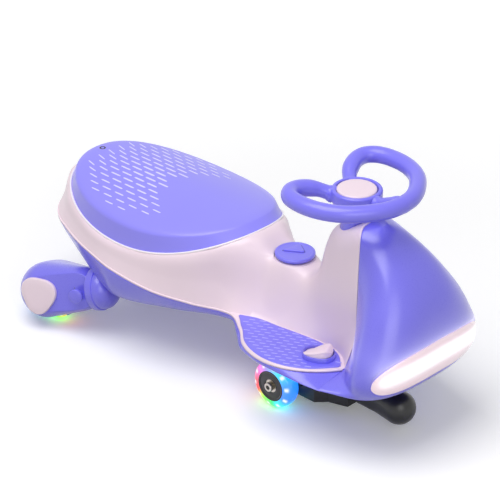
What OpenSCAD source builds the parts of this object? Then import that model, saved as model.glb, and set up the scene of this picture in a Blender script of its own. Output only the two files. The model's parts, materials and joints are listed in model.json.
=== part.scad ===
// Ride-on wiggle car: swivelling front bogie, seat body, foot platforms and two rear wheel pods.
// X runs forward, Y to the rider's left and Z up. The origin is on the ground, midway along the car.
// Places along the car are measured from the steering axis, forward positive.

/* [Overall] */
// Steering axis to the tip of the nose
front_reach = 180; // [174:1:196]
// Steering axis to the tail
rear_reach = 606; // [598:1:630]
// Wall of the moulded shells
shell_wall = 3; // [2.4:0.1:3.6]
// Gap left at the seams between mouldings
seam = 0.3; // [0.2:0.05:0.5]

/* [Body] */
// Half width of the body at the hips, under the seat
hip_half_w = 150; // [142:1:158]
// Half width of the tail
tail_half_w = 110; // [102:1:118]
// Half width of the waist behind the foot platforms
waist_half_w = 89; // [84:1:94]
// Half width over the foot platforms
step_half_w = 158; // [152:1:165]
// Height of the foot platforms
step_z = 135; // [132:1:140]
// Height of the shell's edge at the hips
hip_z = 160; // [154:1:166]
// Height of the shell's edge at the tail
tail_z = 190; // [184:1:196]
// Height of the pan's underside at the hips
pan_z = 98; // [94:1:102]
// Height of the pan's underside at the front
lip_z = 120; // [118:1:122]

/* [Tower] */
// Height of the tower's top at the steering axis
tower_z = 335; // [328:1:340]
// Half width of the tower at the joint with the cowl
tower_half_w = 62; // [58:1:66]
// Height of the saddle under the power button
saddle_z = 224; // [219:1:228]
// Rise of the cowl's top above the tower's top
cowl_rise = 15; // [12:1:18]
// Steering axis to the joint between tower and cowl
cowl_joint = 58; // [54:1:62]
// Lean of that joint towards the rider at the cowl's top
joint_lean = 24; // [20:1:26]
// Half width of the cowl at the headlight
nose_half_w = 137; // [132:1:141]

/* [Headlight] */
// Half length of the headlight
lamp_half_l = 122; // [114:1:124]
// Height of the headlight at its middle
lamp_h = 66; // [60:1:68]
// Height of the headlight's middle above the ground
lamp_z = 167; // [164:1:170]
// Drop of the headlight's ends below its middle
lamp_droop = 14; // [8:1:16]

/* [Seat] */
// Steering axis to the front of the seat
seat_front = 194; // [188:1:200]
// Steering axis to the back of the seat
seat_rear = 594; // [586:1:596]
// Half width of the seat at its foot
seat_half_w = 129; // [124:1:134]
// Height of the seat's foot at its sides
seat_foot_z = 198; // [194:1:202]
// Height of the seat's rim at its sides
seat_rim_z = 238; // [234:1:242]
// Height of the seat's crown along the middle
seat_top_z = 264; // [260:1:270]

/* [Steering wheel] */
// Rise of the rim's centre line above the hub's top face
rim_rise = 4; // [2:1:8]
// Diameter of the rim's tube
rim_d = 27; // [24:0.5:28]
// Axis to the rim's front
rim_front = 92; // [86:1:96]
// Half width of the rim
rim_half_w = 105; // [98:1:110]
// Axis to the back of the rim's lobes
rim_back = 62; // [58:1:64]
// Rise of the hub's top face above the tower's top
hub_rise = 59; // [56:1:62]
// Diameter of the hub
hub_d = 80; // [78:1:84]
// Diameter of the horn button
horn_d = 64; // [60:1:66]
// Travel of the horn button
horn_travel = 2; // [1:0.5:3]
// Diameter of the collar under the hub
collar_d = 48; // [44:1:50]

/* [Column] */
// Diameter of the steering column
column_d = 22; // [20:0.5:23]
// Radial running fit of shafts in bushes and bearings
fit = 0.05; // [0.03:0.01:0.08]
// Outer diameter of the column's guide tube
guide_d = 38; // [36:1:40]

/* [Wheels] */
// Diameter of the wheels
wheel_d = 80; // [76:1:82]
// Width of the wheels
wheel_w = 30; // [26:1:32]
// Diameter of the wheel's hub
wheel_hub_d = 52; // [48:1:56]
// Diameter of the axles
axle_d = 8; // [7:0.5:9]
// Outer diameter of the ball bearings
bearing_d = 22; // [21:0.5:23]
// Width of a ball bearing
bearing_w = 7; // [6:0.5:8]
// Front axle behind the steering axis
trail = 93; // [88:1:98]
// Car's middle to the middle of a front wheel
front_half_track = 77.5; // [75:0.5:82]
// Rear axle behind the steering axis
rear_axle = 554; // [550:1:558]
// Car's middle to the middle of a rear wheel
rear_half_track = 127.5; // [125:0.5:130]
// Clearance round a rear wheel inside its pod
pod_gap = 3; // [2.5:0.5:4]

/* [Pods] */
// Radius of the pod's bulb
bulb_r = 47.5; // [46.5:0.5:49]
// Radius of the pod's neck
neck_r = 38; // [36.5:0.5:38.5]
// Mean diameter of the pod's pink cover
cover_d = 62; // [56:1:64]
// Thickness of the pod's cover
cover_t = 6; // [4:0.5:7]
// Diameter of the plug over the pod's bolt
plug_d = 24; // [20:1:26]
// Diameter of a drive motor
motor_d = 28; // [24:1:30]

/* [Controls] */
// Power button behind the steering axis
button_back = 127; // [124:1:130]
// Diameter of the power button
button_d = 65; // [60:1:68]
// Height of the power button's top
button_z = 235; // [233:1:238]
// Travel of the power button
button_travel = 3; // [2:0.5:3.5]
// Length of the accelerator pedal
pedal_l = 45; // [42:1:48]
// Width of the accelerator pedal
pedal_w = 36; // [33:1:38]
// Height of the pedal's raised front above the mat
pedal_h = 21; // [19:1:23]
// Travel of the pedal, in degrees
pedal_travel = 7; // [5:0.5:7.5]
// Thickness of the foot mats
mat_t = 2; // [1.5:0.5:3]

/* [Inside] */
// Length of the battery pack
battery_l = 100; // [90:1:110]
// Width of the battery pack
battery_w = 70; // [60:1:80]
// Height of the battery pack
battery_h = 48; // [42:1:52]
// Diameter of the speaker
speaker_d = 50; // [44:1:54]
// Bore of the charging socket
jack_d = 5.5; // [5:0.1:6]
// Depth of the charging socket's bore
jack_depth = 9; // [8:0.5:10]
// Diameter of the body screws
screw_d = 4; // [3.5:0.1:4.5]

/* [Hidden] */
$fn = 48;

violet = [0.42, 0.40, 0.90];
lilac = [0.58, 0.56, 1.0];
pink = [0.95, 0.86, 0.90];
black = [0.08, 0.08, 0.09];
steel = [0.72, 0.73, 0.75];

axis_x = (rear_reach - front_reach) / 2;
tail_u = -rear_reach;
nose_u = front_reach;
cowl_z = tower_z + cowl_rise;
hub_z = tower_z + hub_rise;
rim_z = hub_z + rim_rise;
hip_u = -396;
waist_u = -188;
step_u = -48;
wheel_r = wheel_d / 2;
axle_r = axle_d / 2;
column_r = column_d / 2;

// Curves through keyed values
function mix(a, b, f) = a + (b - a) * f;
function span(k, x, i = 0) = (i >= len(k) - 2 || x < k[i + 1][0]) ? i : span(k, x, i + 1);
function slope(k, i) =
    let (a = max(i - 1, 0), b = min(i + 1, len(k) - 1))
    (k[b][1] - k[a][1]) / (k[b][0] - k[a][0]);
function curve(k, x) =
    let (i = span(k, x), h = k[i + 1][0] - k[i][0], t = max(0, min(1, (x - k[i][0]) / h)))
    (2 * t^3 - 3 * t^2 + 1) * k[i][1] + (t^3 - 2 * t^2 + t) * h * slope(k, i)
    + (3 * t^2 - 2 * t^3) * k[i + 1][1] + (t^3 - t^2) * h * slope(k, i + 1);
// One inside x0, falling to nought at x1 as a superellipse of power p does
function taper(x, x0, x1, p) = (1 - max(0, min(1, (x - x0) / (x1 - x0)))^p)^(1 / p);

// Plan and height of the seam between the upper shell and the pan
edge_keys = [
    [tail_u, tail_half_w], [mix(tail_u, hip_u, 0.22), tail_half_w + 3],
    [mix(tail_u, hip_u, 0.53), mix(tail_half_w, hip_half_w, 0.59)],
    [mix(tail_u, hip_u, 0.75), mix(tail_half_w, hip_half_w, 0.83)],
    [hip_u, hip_half_w], [mix(hip_u, waist_u, 0.4), mix(hip_half_w, waist_half_w, 0.14)],
    [mix(hip_u, waist_u, 0.72), mix(hip_half_w, waist_half_w, 0.56)],
    [waist_u, waist_half_w], [mix(waist_u, step_u, 0.34), mix(waist_half_w, step_half_w, 0.36)],
    [mix(waist_u, step_u, 0.55), mix(waist_half_w, step_half_w, 0.73)],
    [mix(waist_u, step_u, 0.76), mix(waist_half_w, step_half_w, 0.93)],
    [step_u, step_half_w], [mix(step_u, cowl_joint, 0.33), step_half_w - 6.5],
    [mix(step_u, cowl_joint, 0.62), step_half_w - 23],
    [mix(step_u, cowl_joint, 0.85), step_half_w - 45], [cowl_joint, step_half_w - 66]
];
edge_z_keys = [
    [tail_u, tail_z], [mix(tail_u, hip_u, 0.22), mix(tail_z, hip_z, 0.33)],
    [mix(tail_u, hip_u, 0.6), mix(tail_z, hip_z, 0.67)], [hip_u, hip_z],
    [mix(hip_u, waist_u, 0.46), mix(hip_z, step_z, 0.52)], [waist_u - 14, step_z + 0.6],
    [waist_u + 4, step_z], [step_u, step_z], [cowl_joint, step_z]
];
function tail_round(u) = taper(u, tail_u + 66, tail_u, 2.2);
function edge_y(u) = curve(edge_keys, u) * tail_round(u);
function edge_z(u) = curve(edge_z_keys, u);

// Plan and height of the pan's lower lip
lip_keys = [
    [tail_u, tail_half_w - 28], [mix(tail_u, hip_u, 0.22), tail_half_w - 17],
    [mix(tail_u, hip_u, 0.53), mix(tail_half_w, hip_half_w, 0.12)],
    [mix(tail_u, hip_u, 0.75), mix(tail_half_w, hip_half_w, 0.5)],
    [hip_u, hip_half_w - 9], [mix(hip_u, waist_u, 0.5), hip_half_w - 32],
    [waist_u, waist_half_w - 5], [mix(waist_u, step_u, 0.27), waist_half_w + 20],
    [mix(waist_u, step_u, 0.52), step_half_w - 21], [mix(waist_u, step_u, 0.74), step_half_w - 11.5],
    [step_u, step_half_w - 7], [24, step_half_w - 6.5], [cowl_joint, step_half_w - 12],
    [93, step_half_w - 21], [120, step_half_w - 36], [nose_u, step_half_w - 40]
];
lip_z_keys = [
    [tail_u, 158], [mix(tail_u, hip_u, 0.22), 136], [mix(tail_u, hip_u, 0.5), 117],
    [mix(tail_u, hip_u, 0.75), 104], [hip_u, pan_z], [mix(hip_u, waist_u, 0.5), mix(pan_z, lip_z, 0.5)],
    [waist_u, lip_z - 1], [step_u, lip_z], [nose_u, lip_z]
];
floor_tip = nose_u - 28;
function lip_y(u) = curve(lip_keys, u) * tail_round(u) * taper(u, 100, floor_tip, 2.4);
function lip_height(u) = curve(lip_z_keys, u);

// Ridge, width, squareness and foot of the shell's upper section
seat_arch = 54;
ridge_keys = [
    [tail_u, tail_z + 6], [tail_u + 5, tail_z + 32], [-seat_rear, seat_foot_z + 39],
    [6 - seat_rear, seat_foot_z + 38.5],
    [-570, seat_foot_z + 35], [-540, seat_foot_z + 27.5], [-501, seat_foot_z + 18], [-454, seat_foot_z + 9],
    [hip_u, seat_foot_z + 6], [-338, seat_foot_z + 12], [-290, seat_foot_z + 23], [-249, seat_foot_z + 36],
    [-219, seat_foot_z + 45.5], [-6 - seat_front, seat_foot_z + 52], [4 - seat_front, seat_foot_z + 53.5],
    [-175, seat_foot_z + 48], [-150, saddle_z + 10], [-button_back, saddle_z + 3], [-100, saddle_z - 2],
    [-80, saddle_z - 2.5], [-66, saddle_z + 4.5], [-57.5, mix(saddle_z, tower_z, 0.18)],
    [-46, mix(saddle_z, tower_z, 0.44)], [-40, mix(saddle_z, tower_z, 0.67)],
    [-35, mix(saddle_z, tower_z, 0.8)], [-28, tower_z - 11], [0, tower_z],
    [30, mix(tower_z, cowl_z, 0.92)], [42, cowl_z], [cowl_joint, cowl_z]
];
top_w_keys = [
    [tail_u, tail_half_w - 26], [6 - seat_rear, tail_half_w - 26], [-570, tail_half_w - 22],
    [-540, seat_half_w - 25], [-501, seat_half_w - 8], [-454, seat_half_w + 5], [hip_u, seat_half_w + 9],
    [-338, seat_half_w + 5], [-290, seat_half_w - 5], [-249, seat_half_w - 23], [-219, seat_half_w - 45],
    [-6 - seat_front, seat_half_w - 57], [-175, 58], [-150, 48], [-button_back, 44], [-90, 42],
    [-40, tower_half_w - 19], [0, tower_half_w - 12], [45, tower_half_w - 2], [cowl_joint, tower_half_w]
];
power_keys = [
    [tail_u, 5], [-570, 6], [-480, 7], [-219, 7], [-6 - seat_front, 4.5], [-175, 3.2],
    [-button_back, 2.6], [-80, 3], [cowl_joint, 4]
];
foot_keys = [
    [waist_u, waist_half_w - 3], [-170, waist_half_w - 12], [-138, 66.5], [-98, 61.5], [-59, 56],
    [-24, 53], [5, 55], [26, 60.5], [40, 69], [cowl_joint, 86]
];
flange = 2;
function foot_y(u) = u < waist_u ? edge_y(u) - flange * tail_round(u) : curve(foot_keys, u);
flare_h = 70;
flare_power = 2.6;
wall_share = 0.78;
boss_d = button_d + 0.6;
boss_z = button_z - 9;
boss_flare = 26;
// Share of the way that the saddle comes level with the button's boss round it
function boss_rise(u, y) = max(0, 1 - max(0, norm([u + button_back, y]) - boss_d / 2) / boss_flare)^2;
// Point of the upper shell at place u, and v from -1 at the right edge over the ridge to 1
function shell_point(u, v) =
    let (
        a = min(1, abs(v) / wall_share) * 90, s = sign(v), n = curve(power_keys, u),
        zb = edge_z(u), zr = curve(ridge_keys, u), yt = curve(top_w_keys, u) * tail_round(u),
        z = zb + (zr - zb) * cos(a)^(2 / n), yf = foot_y(u),
        f = max(0, 1 - (z - zb) / min(flare_h, zr - zb))^flare_power,
        out = max(0, (abs(v) - wall_share) / (1 - wall_share)),
        y = yt * sin(a)^(2 / n) + (yf - yt) * f
    )
    [u, s * mix(y, edge_y(u), out),
        z + (max(0, boss_z - 0.5 - z) - max(0, z - boss_z - 2.5)) * boss_rise(u, y)];

// Half width of the upper shell at place u and height z
function shell_half(u, z) =
    let (
        n = curve(power_keys, u), zb = edge_z(u), h = curve(ridge_keys, u) - zb,
        yt = curve(top_w_keys, u) * tail_round(u), c = max(0, min(1, (z - zb) / h))^(n / 2),
        f = max(0, 1 - (z - zb) / min(flare_h, h))^flare_power
    )
    yt * sqrt(1 - c^2)^(2 / n) + (foot_y(u) - yt) * f;

// Point of the pan at place u, and w from -1 at the right seam under the belly to 1
side_share = 0.55;
floor_inset = 8;
function pan_inset(u) = u < cowl_joint ? 0 : floor_inset + 14 * max(0, 1 - (u - cowl_joint) / 50);
function pan_edge(u) =
    u < cowl_joint ? [edge_y(u), edge_z(u) - shell_wall - seam]
        : [lip_y(u) * 0.93 - pan_inset(u), lip_z - 0.5];
function pan_side(u, t) =
    let (
        e = pan_edge(u), y = lip_y(u) - pan_inset(u), z = lip_height(u),
        c = u < cowl_joint ? [1.494 * y - 0.409 * e[0], z - 1] : [y * 0.9, z - 1.5], l = [y * 0.86, z - 1.5]
    )
    t^2 * e + 2 * t * (1 - t) * c + (1 - t)^2 * l;
function pan_point(u, w) =
    let (
        t = max(0, (abs(w) - (1 - side_share)) / side_share), l = pan_side(u, 0),
        p = t > 0 ? pan_side(u, t) : [l[0] * abs(w) / (1 - side_share), l[1]]
    )
    [u, sign(w) * p[0], p[1]];

// Outline of the cowl at each height: place and width at the joint, tip, and width at the headlight
function rise(f) = mix(step_z, cowl_z, f);
joint_keys = [
    [lip_z, cowl_joint], [rise(0.3), cowl_joint], [rise(0.49), cowl_joint],
    [rise(0.63), cowl_joint - 0.04 * joint_lean], [rise(0.77), cowl_joint - 0.15 * joint_lean],
    [rise(0.86), cowl_joint - 0.29 * joint_lean], [rise(0.935), cowl_joint - 0.54 * joint_lean],
    [rise(0.977), cowl_joint - 0.79 * joint_lean], [cowl_z, cowl_joint - joint_lean]
];
function joint_u(z) = curve(joint_keys, z);
skirt_top = step_z + 7;
skirt_keys = concat(
    [for (t = [0.35, 0.5, 0.75, 1]) let (p = pan_side(cowl_joint - seam, t)) [p[1], p[0]]],
    [[skirt_top, shell_half(cowl_joint, skirt_top)]]);
function joint_w(z) = z < skirt_top ? curve(skirt_keys, z) : shell_half(joint_u(z), z);
tip_keys = [
    [lip_z, nose_u - 22], [step_z, nose_u - 10], [rise(0.07), nose_u - 4.5], [rise(0.186), nose_u],
    [rise(0.302), nose_u - 2.5], [rise(0.488), nose_u - 14], [rise(0.628), nose_u - 29],
    [rise(0.767), nose_u - 52], [rise(0.884), nose_u - 82.5], [rise(0.953), nose_u - 105],
    [cowl_z, cowl_joint]
];
nose_w_keys = [
    [lip_z, nose_half_w - 7], [step_z, nose_half_w - 2], [rise(0.07), nose_half_w],
    [rise(0.186), nose_half_w - 6], [rise(0.302), nose_half_w - 17.5], [rise(0.488), nose_half_w - 38],
    [rise(0.628), nose_half_w - 57], [rise(0.767), nose_half_w - 76], [rise(0.884), nose_half_w - 95],
    [rise(0.953), nose_half_w - 109], [cowl_z, 12]
];
cheek_u = 130;
cowl_power = 2.8;
// Point of the cowl at height z, and s from -1 at the right joint round the tip to 1
function cowl_point(z, s) =
    let (
        tip = curve(tip_keys, z), j = joint_u(z), u = j + (tip - j) * cos(abs(s) * 90),
        t = max(0, min(1, (u - j) / (min(cheek_u, tip) - j))),
        w = mix(joint_w(z), curve(nose_w_keys, z), sin(90 * t)), full = mix(j, tip, 0.25)
    )
    [u, sign(s) * w * taper(u, full, tip, cowl_power), z];

// Seat: foot and rim curves, with t in degrees from the front
seat_mid = -397;
rim_inset = 3;
function seat_plan(front, rear, half_w, t) =
    let (c = cos(t), s = sin(t), e = 0.92, x = sign(c) * abs(c)^e)
    [c > 0 ? mix(seat_mid, -front, x) : mix(seat_mid, -rear, -x), half_w * sign(s) * abs(s)^e];
function seat_foot(t) =
    let (p = seat_plan(seat_front, seat_rear, seat_half_w, t), c = cos(t))
    [p[0], p[1], seat_foot_z + (c > 0 ? seat_arch : seat_arch - 14) * abs(c)^1.8];
function seat_rim(t) =
    let (p = seat_plan(seat_front + 17, seat_rear - 12, seat_half_w - rim_inset, t), c = cos(t))
    [p[0], p[1], seat_rim_z + (seat_top_z - seat_rim_z) * abs(c)^2];
function seat_dome(t, k) =
    let (r = seat_rim(t), c = [seat_mid - 8, 0, seat_top_z])
    [mix(r[0], c[0], k), r[1] * (1 - k), r[2] + (seat_top_z - r[2]) * (1 - (1 - k)^2)];
seat_turns = 44;
seat_angles = [for (i = [0 : seat_turns - 1]) i * 360 / seat_turns];
roll = 0.1;
seat_skirt = 9;
// Point of the seat at angle t: k is -1 below the shell, 0 at the foot, 1 at the rim and 2 at the crown
function seat_point(t, k) =
    let (f = seat_foot(t), r = seat_rim(t), d = seat_dome(t, roll))
    k < 0 ? f + [0, 0, seat_skirt * k] : k < 0.8 ? mix(f, r, k) : k < 1.2
        ? let (q = (k - 0.8) / 0.4, a = mix(f, r, 0.8)) (1 - q)^2 * a + 2 * q * (1 - q) * r + q^2 * d
        : seat_dome(t, mix(roll, 1, (k - 1.2) / 0.8));

// Thick sheet over a grid of points and its copy set inward, closed along its four borders
function unit(v) = v / max(norm(v), 1e-9);
function sheet_faces(n, m) =
    let (o = n * m)
    concat(
        [for (i = [0 : n - 2], j = [0 : m - 2], k = [0, 1]) k == 0
            ? [i * m + j, i * m + j + 1, (i + 1) * m + j + 1]
            : [i * m + j, (i + 1) * m + j + 1, (i + 1) * m + j]],
        [for (i = [0 : n - 2], j = [0 : m - 2], k = [0, 1]) k == 0
            ? [o + i * m + j, o + (i + 1) * m + j + 1, o + i * m + j + 1]
            : [o + i * m + j, o + (i + 1) * m + j, o + (i + 1) * m + j + 1]],
        [for (i = [0 : n - 2], k = [0, 1]) k == 0
            ? [i * m, (i + 1) * m, o + (i + 1) * m] : [i * m, o + (i + 1) * m, o + i * m]],
        [for (i = [0 : n - 2], k = [0, 1]) let (j = m - 1) k == 0
            ? [i * m + j, o + (i + 1) * m + j, (i + 1) * m + j]
            : [i * m + j, o + i * m + j, o + (i + 1) * m + j]],
        [for (j = [0 : m - 2], k = [0, 1]) k == 0 ? [j, o + j, o + j + 1] : [j, o + j + 1, j + 1]],
        [for (j = [0 : m - 2], k = [0, 1]) let (b = (n - 1) * m) k == 0
            ? [b + j, b + j + 1, o + b + j + 1] : [b + j, o + b + j + 1, o + b + j]]
    );
module sheet(grid, inner) {
    n = len(grid);
    m = len(grid[0]);
    polyhedron([for (r = grid) each r, for (r = inner) each r], sheet_faces(n, m), convexity = 8);
}
// Inward neighbour of a point from two tangents of the surface
function inset(p, du, dv, d) = p - d * unit(cross(du, dv));

tail_span = 60;
shell_stations = [
    for (i = [0 : 6]) tail_u + 0.4 + tail_span * (1 - cos(i * 90 / 7)),
    for (i = [0 : 5]) mix(tail_u + tail_span, hip_u + 40, i / 6),
    for (i = [0 : 5]) mix(hip_u + 40, -220, i / 6),
    for (i = [0 : 11]) mix(-220, -92, i / 12),
    for (u = [-92, -79, -69, -62, -55, -48, -42, -37, -30, -20, 0, 20, 36, 48]) u,
    cowl_joint - seam
];
wall_steps = 9;
flat_steps = 2;
function column(j, a, b, share) =
    sign(j) * (abs(j) <= a ? share * abs(j) / a : share + (1 - share) * (abs(j) - a) / b);
shell_columns = [for (j = [-wall_steps - flat_steps : wall_steps + flat_steps])
    column(j, wall_steps, flat_steps, wall_share)];
du = 0.2;
dv = 0.004;
function shell_inner(u, v) =
    let (p = inset(shell_point(u, v), shell_point(u + du, v) - shell_point(max(u - du, tail_u + 0.05), v),
        shell_point(u, min(v + dv, 1)) - shell_point(u, max(v - dv, -1)), shell_wall))
    [min(p[0], cowl_joint - seam), p[1], p[2]];

pan_stations = [
    each shell_stations, cowl_joint + seam, 80, 100,
    for (i = [1 : 4]) 100 + (floor_tip - 101) * sin(i * 90 / 4)
];
belly_steps = 2;
side_steps = 5;
pan_columns = [for (j = [-belly_steps - side_steps : belly_steps + side_steps])
    column(j, belly_steps, side_steps, 1 - side_share)];
function pan_inner(u, w) =
    let (p = inset(pan_point(u, w), pan_point(u + du, w) - pan_point(max(u - du, tail_u + 0.05), w),
        pan_point(u, min(w + dv, 1)) - pan_point(u, max(w - dv, -1)), -shell_wall))
    u < cowl_joint ? [p[0], p[1], min(p[2], pan_edge(u)[1])] : p;
function pan_floor(u) = lip_height(u) - 1.5 + shell_wall;

lid_drop = 1;
lid_foot = cowl_z - lid_drop - shell_wall / 2;
cowl_rows = [
    for (f = [0, 0.25, 0.6, 1]) mix(lip_z + 0.5, step_z, f),
    skirt_top, for (f = [0.07, 0.12, 0.18, 0.26, 0.35, 0.45, 0.56, 0.67, 0.77, 0.86, 0.92, 0.965]) rise(f),
    cowl_z - lid_drop
];
cowl_steps = 11;
cowl_columns = [for (j = [cowl_steps : -1 : -cowl_steps]) j / cowl_steps];
dz = 0.3;
function cowl_offset(z, s, d) =
    let (ds = 0.004)
    inset(cowl_point(z, s), cowl_point(z + dz, s) - cowl_point(z - dz, s),
        cowl_point(z, max(s - ds, -1)) - cowl_point(z, min(s + ds, 1)), d);
function cowl_inner(z, s) =
    let (p = cowl_offset(z, s, shell_wall)) [max(p[0], joint_u(p[2])), p[1], p[2]];

// Headlight outline on the cowl, a superellipse in half length and height
function bisect(f, lo, hi, n = 20) =
    let (m = (lo + hi) / 2) n == 0 ? m : f(m) > 0 ? bisect(f, lo, m, n - 1) : bisect(f, m, hi, n - 1);
function lamp_turn(y, z) = bisect(function (s) cowl_point(z, s)[1] - y, 0, 0.62);
lamp_steps = 10;
lamp_rows = 6;
lamp_fan = 86;
lens_t = 2.4;
function lamp_point(i, j, grow, d) =
    let (
        a = sin(lamp_fan * j / lamp_steps), z = lamp_z - lamp_droop * a^2,
        s = sign(j) * lamp_turn(abs(a) * (lamp_half_l + grow), z), h = (lamp_h / 2) * sqrt(1 - a^6) + grow
    )
    cowl_offset(z + h * (2 * i / lamp_rows - 1), s, d);
module lamp_sheet(grow, outer, inner) {
    columns = [lamp_steps : -1 : -lamp_steps];
    sheet([for (i = [0 : lamp_rows]) [for (j = columns) lamp_point(i, j, grow, outer)]],
        [for (i = [0 : lamp_rows]) [for (j = columns) lamp_point(i, j, grow, inner)]]);
}

module at_axis() {
    translate([axis_x, 0, 0]) children();
}
module left() {
    mirror([0, 1, 0]) children();
}
// Turns +Z onto a direction
module along(d) {
    rotate([0, acos(d[2] / norm(d)), atan2(d[1], d[0])]) children();
}
module ring(d_out, d_in, h) {
    rotate_extrude() translate([d_in / 2, 0]) square([(d_out - d_in) / 2, h]);
}

guide_flange_d = 68;
guide_flange_t = 4;
bush_d = 30;
boss_foot_z = saddle_z - 34;
bolt_places = [for (u = [-40, 30, 110], s = [-1, 1]) [u, s * 70]];

module upper_shell() {
    color(pink) at_axis() difference() {
        sheet([for (u = shell_stations) [for (v = shell_columns) shell_point(u, v)]],
            [for (u = shell_stations) [for (v = shell_columns) shell_inner(u, v)]]);
        translate([0, 0, tower_z - 40]) cylinder(d = collar_d + 4, h = 100);
        translate([-button_back, 0, boss_foot_z - 1]) cylinder(d = boss_d + 2 * seam, h = 60);
        translate([0, 0, hip_z]) linear_extrude(seat_top_z - hip_z) polygon([for (t = seat_angles)
            seat_plan(seat_front - seam, seat_rear + seam, seat_half_w + seam, t)]);
        rotate([90, 0, 0]) linear_extrude(3 * tower_half_w, center = true) polygon(concat(
            [for (z = cowl_rows) if (z > rise(0.4)) [joint_u(z) - seam, z]],
            [[cowl_joint - joint_lean - seam, cowl_z + 10], [cowl_joint + 20, cowl_z + 10],
            [cowl_joint + 20, rise(0.4)]]));
    }
}

module lower_pan() {
    color(violet) at_axis() difference() {
        sheet([for (u = pan_stations) [for (w = pan_columns) pan_inner(u, w)]],
            [for (u = pan_stations) [for (w = pan_columns) pan_point(u, w)]]);
        translate([0, 0, lip_z - 20]) cylinder(d = guide_d + 2 * seam, h = 40);
        for (s = [-1, 1]) scale([1, s, 1]) pod_arm(2 * seam);
        for (p = bolt_places) translate([p[0], p[1], lip_z - 10]) cylinder(d = screw_d + 0.4, h = 20);
    }
}

module front_cowl() {
    color(violet) at_axis() difference() {
        union() {
            sheet([for (z = cowl_rows) [for (s = cowl_columns) cowl_offset(z, s, 0)]],
                [for (z = cowl_rows) [for (s = cowl_columns) cowl_inner(z, s)]]);
            translate([0, 0, lid_foot]) linear_extrude(cowl_z - lid_drop / 2 - lid_foot)
                polygon([for (s = cowl_columns) let (p = cowl_offset(cowl_z - lid_drop, s, shell_wall / 3))
                    [max(p[0], joint_u(lid_foot)), p[1]]]);
        }
        lamp_sheet(seam, -12, 12);
    }
}

module headlight_lens() {
    color("white") at_axis() lamp_sheet(0, 0, lens_t);
}

board_u = nose_u - 44;
board_w = lamp_half_l;
module headlight_board() {
    color("seagreen") at_axis() translate([board_u, -board_w / 2, pan_floor(board_u)])
        cube([1.6, board_w, lamp_z + lamp_h / 4 - pan_floor(board_u)]);
}

// Seat
seat_rows = [-1, 0, 0.4, 0.8, 0.9, 1, 1.1, 1.2, 1.4, 1.6, 1.8];
function seat_inner(t, k) =
    inset(seat_point(t, k), seat_point(t + 0.2, k) - seat_point(t - 0.2, k),
        seat_point(t, k + 0.01) - seat_point(t, max(k - 0.01, -1)), shell_wall);
function ring_faces(n, m) =
    let (o = n * m, top = 2 * n * m)
    concat(
        [for (i = [0 : n - 1], j = [0 : m - 2], k = [0, 1]) let (a = i * m + j, b = ((i + 1) % n) * m + j)
            k == 0 ? [a, a + 1, b + 1] : [a, b + 1, b]],
        [for (i = [0 : n - 1], j = [0 : m - 2], k = [0, 1])
            let (a = o + i * m + j, b = o + ((i + 1) % n) * m + j)
            k == 0 ? [a, b + 1, a + 1] : [a, b, b + 1]],
        [for (i = [0 : n - 1], k = [0, 1]) let (a = i * m, b = ((i + 1) % n) * m)
            k == 0 ? [a, b, o + b] : [a, o + b, o + a]],
        [for (i = [0 : n - 1], k = [0, 1]) let (a = i * m + m - 1, b = ((i + 1) % n) * m + m - 1)
            k == 0 ? [a, top, b] : [o + a, o + b, top + 1]]
    );
jack_inset = 28;
jack_u = jack_inset - seat_rear;
function seat_height(u) =
    let (k = bisect(function (q) seat_point(180, q)[0] - u, 1.2, 2)) seat_point(180, k)[2];
jack_body_d = jack_d + 5;
module seat_cover() {
    points = concat(
        [for (t = seat_angles, k = seat_rows) seat_point(t, k)],
        [for (t = seat_angles, k = seat_rows) seat_inner(t, k)],
        [[seat_mid - 8, 0, seat_top_z], [seat_mid - 8, 0, seat_top_z - shell_wall]]);
    color(lilac) at_axis() difference() {
        polyhedron(points, ring_faces(seat_turns, len(seat_rows)), convexity = 6);
        translate([jack_u, 0, seat_top_z - 30]) cylinder(d = jack_body_d + 2 * seam, h = 40);
    }
}

module charge_socket() {
    top = seat_height(jack_u);
    color(black) at_axis() translate([jack_u, 0, top]) difference() {
        translate([0, 0, -jack_depth - 6]) cylinder(d = jack_body_d, h = jack_depth + 6);
        translate([0, 0, -jack_depth]) cylinder(d = jack_d, h = jack_depth + 1);
    }
}

// Foot mats
mat_rear = waist_u + 20;
mat_front = cowl_joint - 8;
mat_steps = 16;
mat_lift = 0.15;
mat_in = 2.5;
mat_out = 6;
function mat_round(u) =
    taper(u, mat_front - 40, mat_front + 1, 2.4) * taper(u, mat_rear + 26, mat_rear - 2, 2);
module foot_mat() {
    us = [for (i = [0 : mat_steps]) mix(mat_rear, mat_front, (1 - cos(i * 180 / mat_steps)) / 2)];
    mids = [for (u = us) (foot_y(u) + mat_in + edge_y(u) - mat_out) / 2];
    halves = [for (u = us) max(2, (edge_y(u) - foot_y(u) - mat_in - mat_out) / 2) * mat_round(u)];
    at_axis() translate([0, 0, step_z + mat_lift]) linear_extrude(mat_t) polygon(concat(
        [for (i = [0 : mat_steps]) [us[i], -mids[i] - halves[i]]],
        [for (i = [mat_steps : -1 : 0]) [us[i], -mids[i] + halves[i]]]));
}
module foot_mat_right() {
    color(lilac) foot_mat();
}
module foot_mat_left() {
    color(lilac) left() foot_mat();
}

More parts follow.
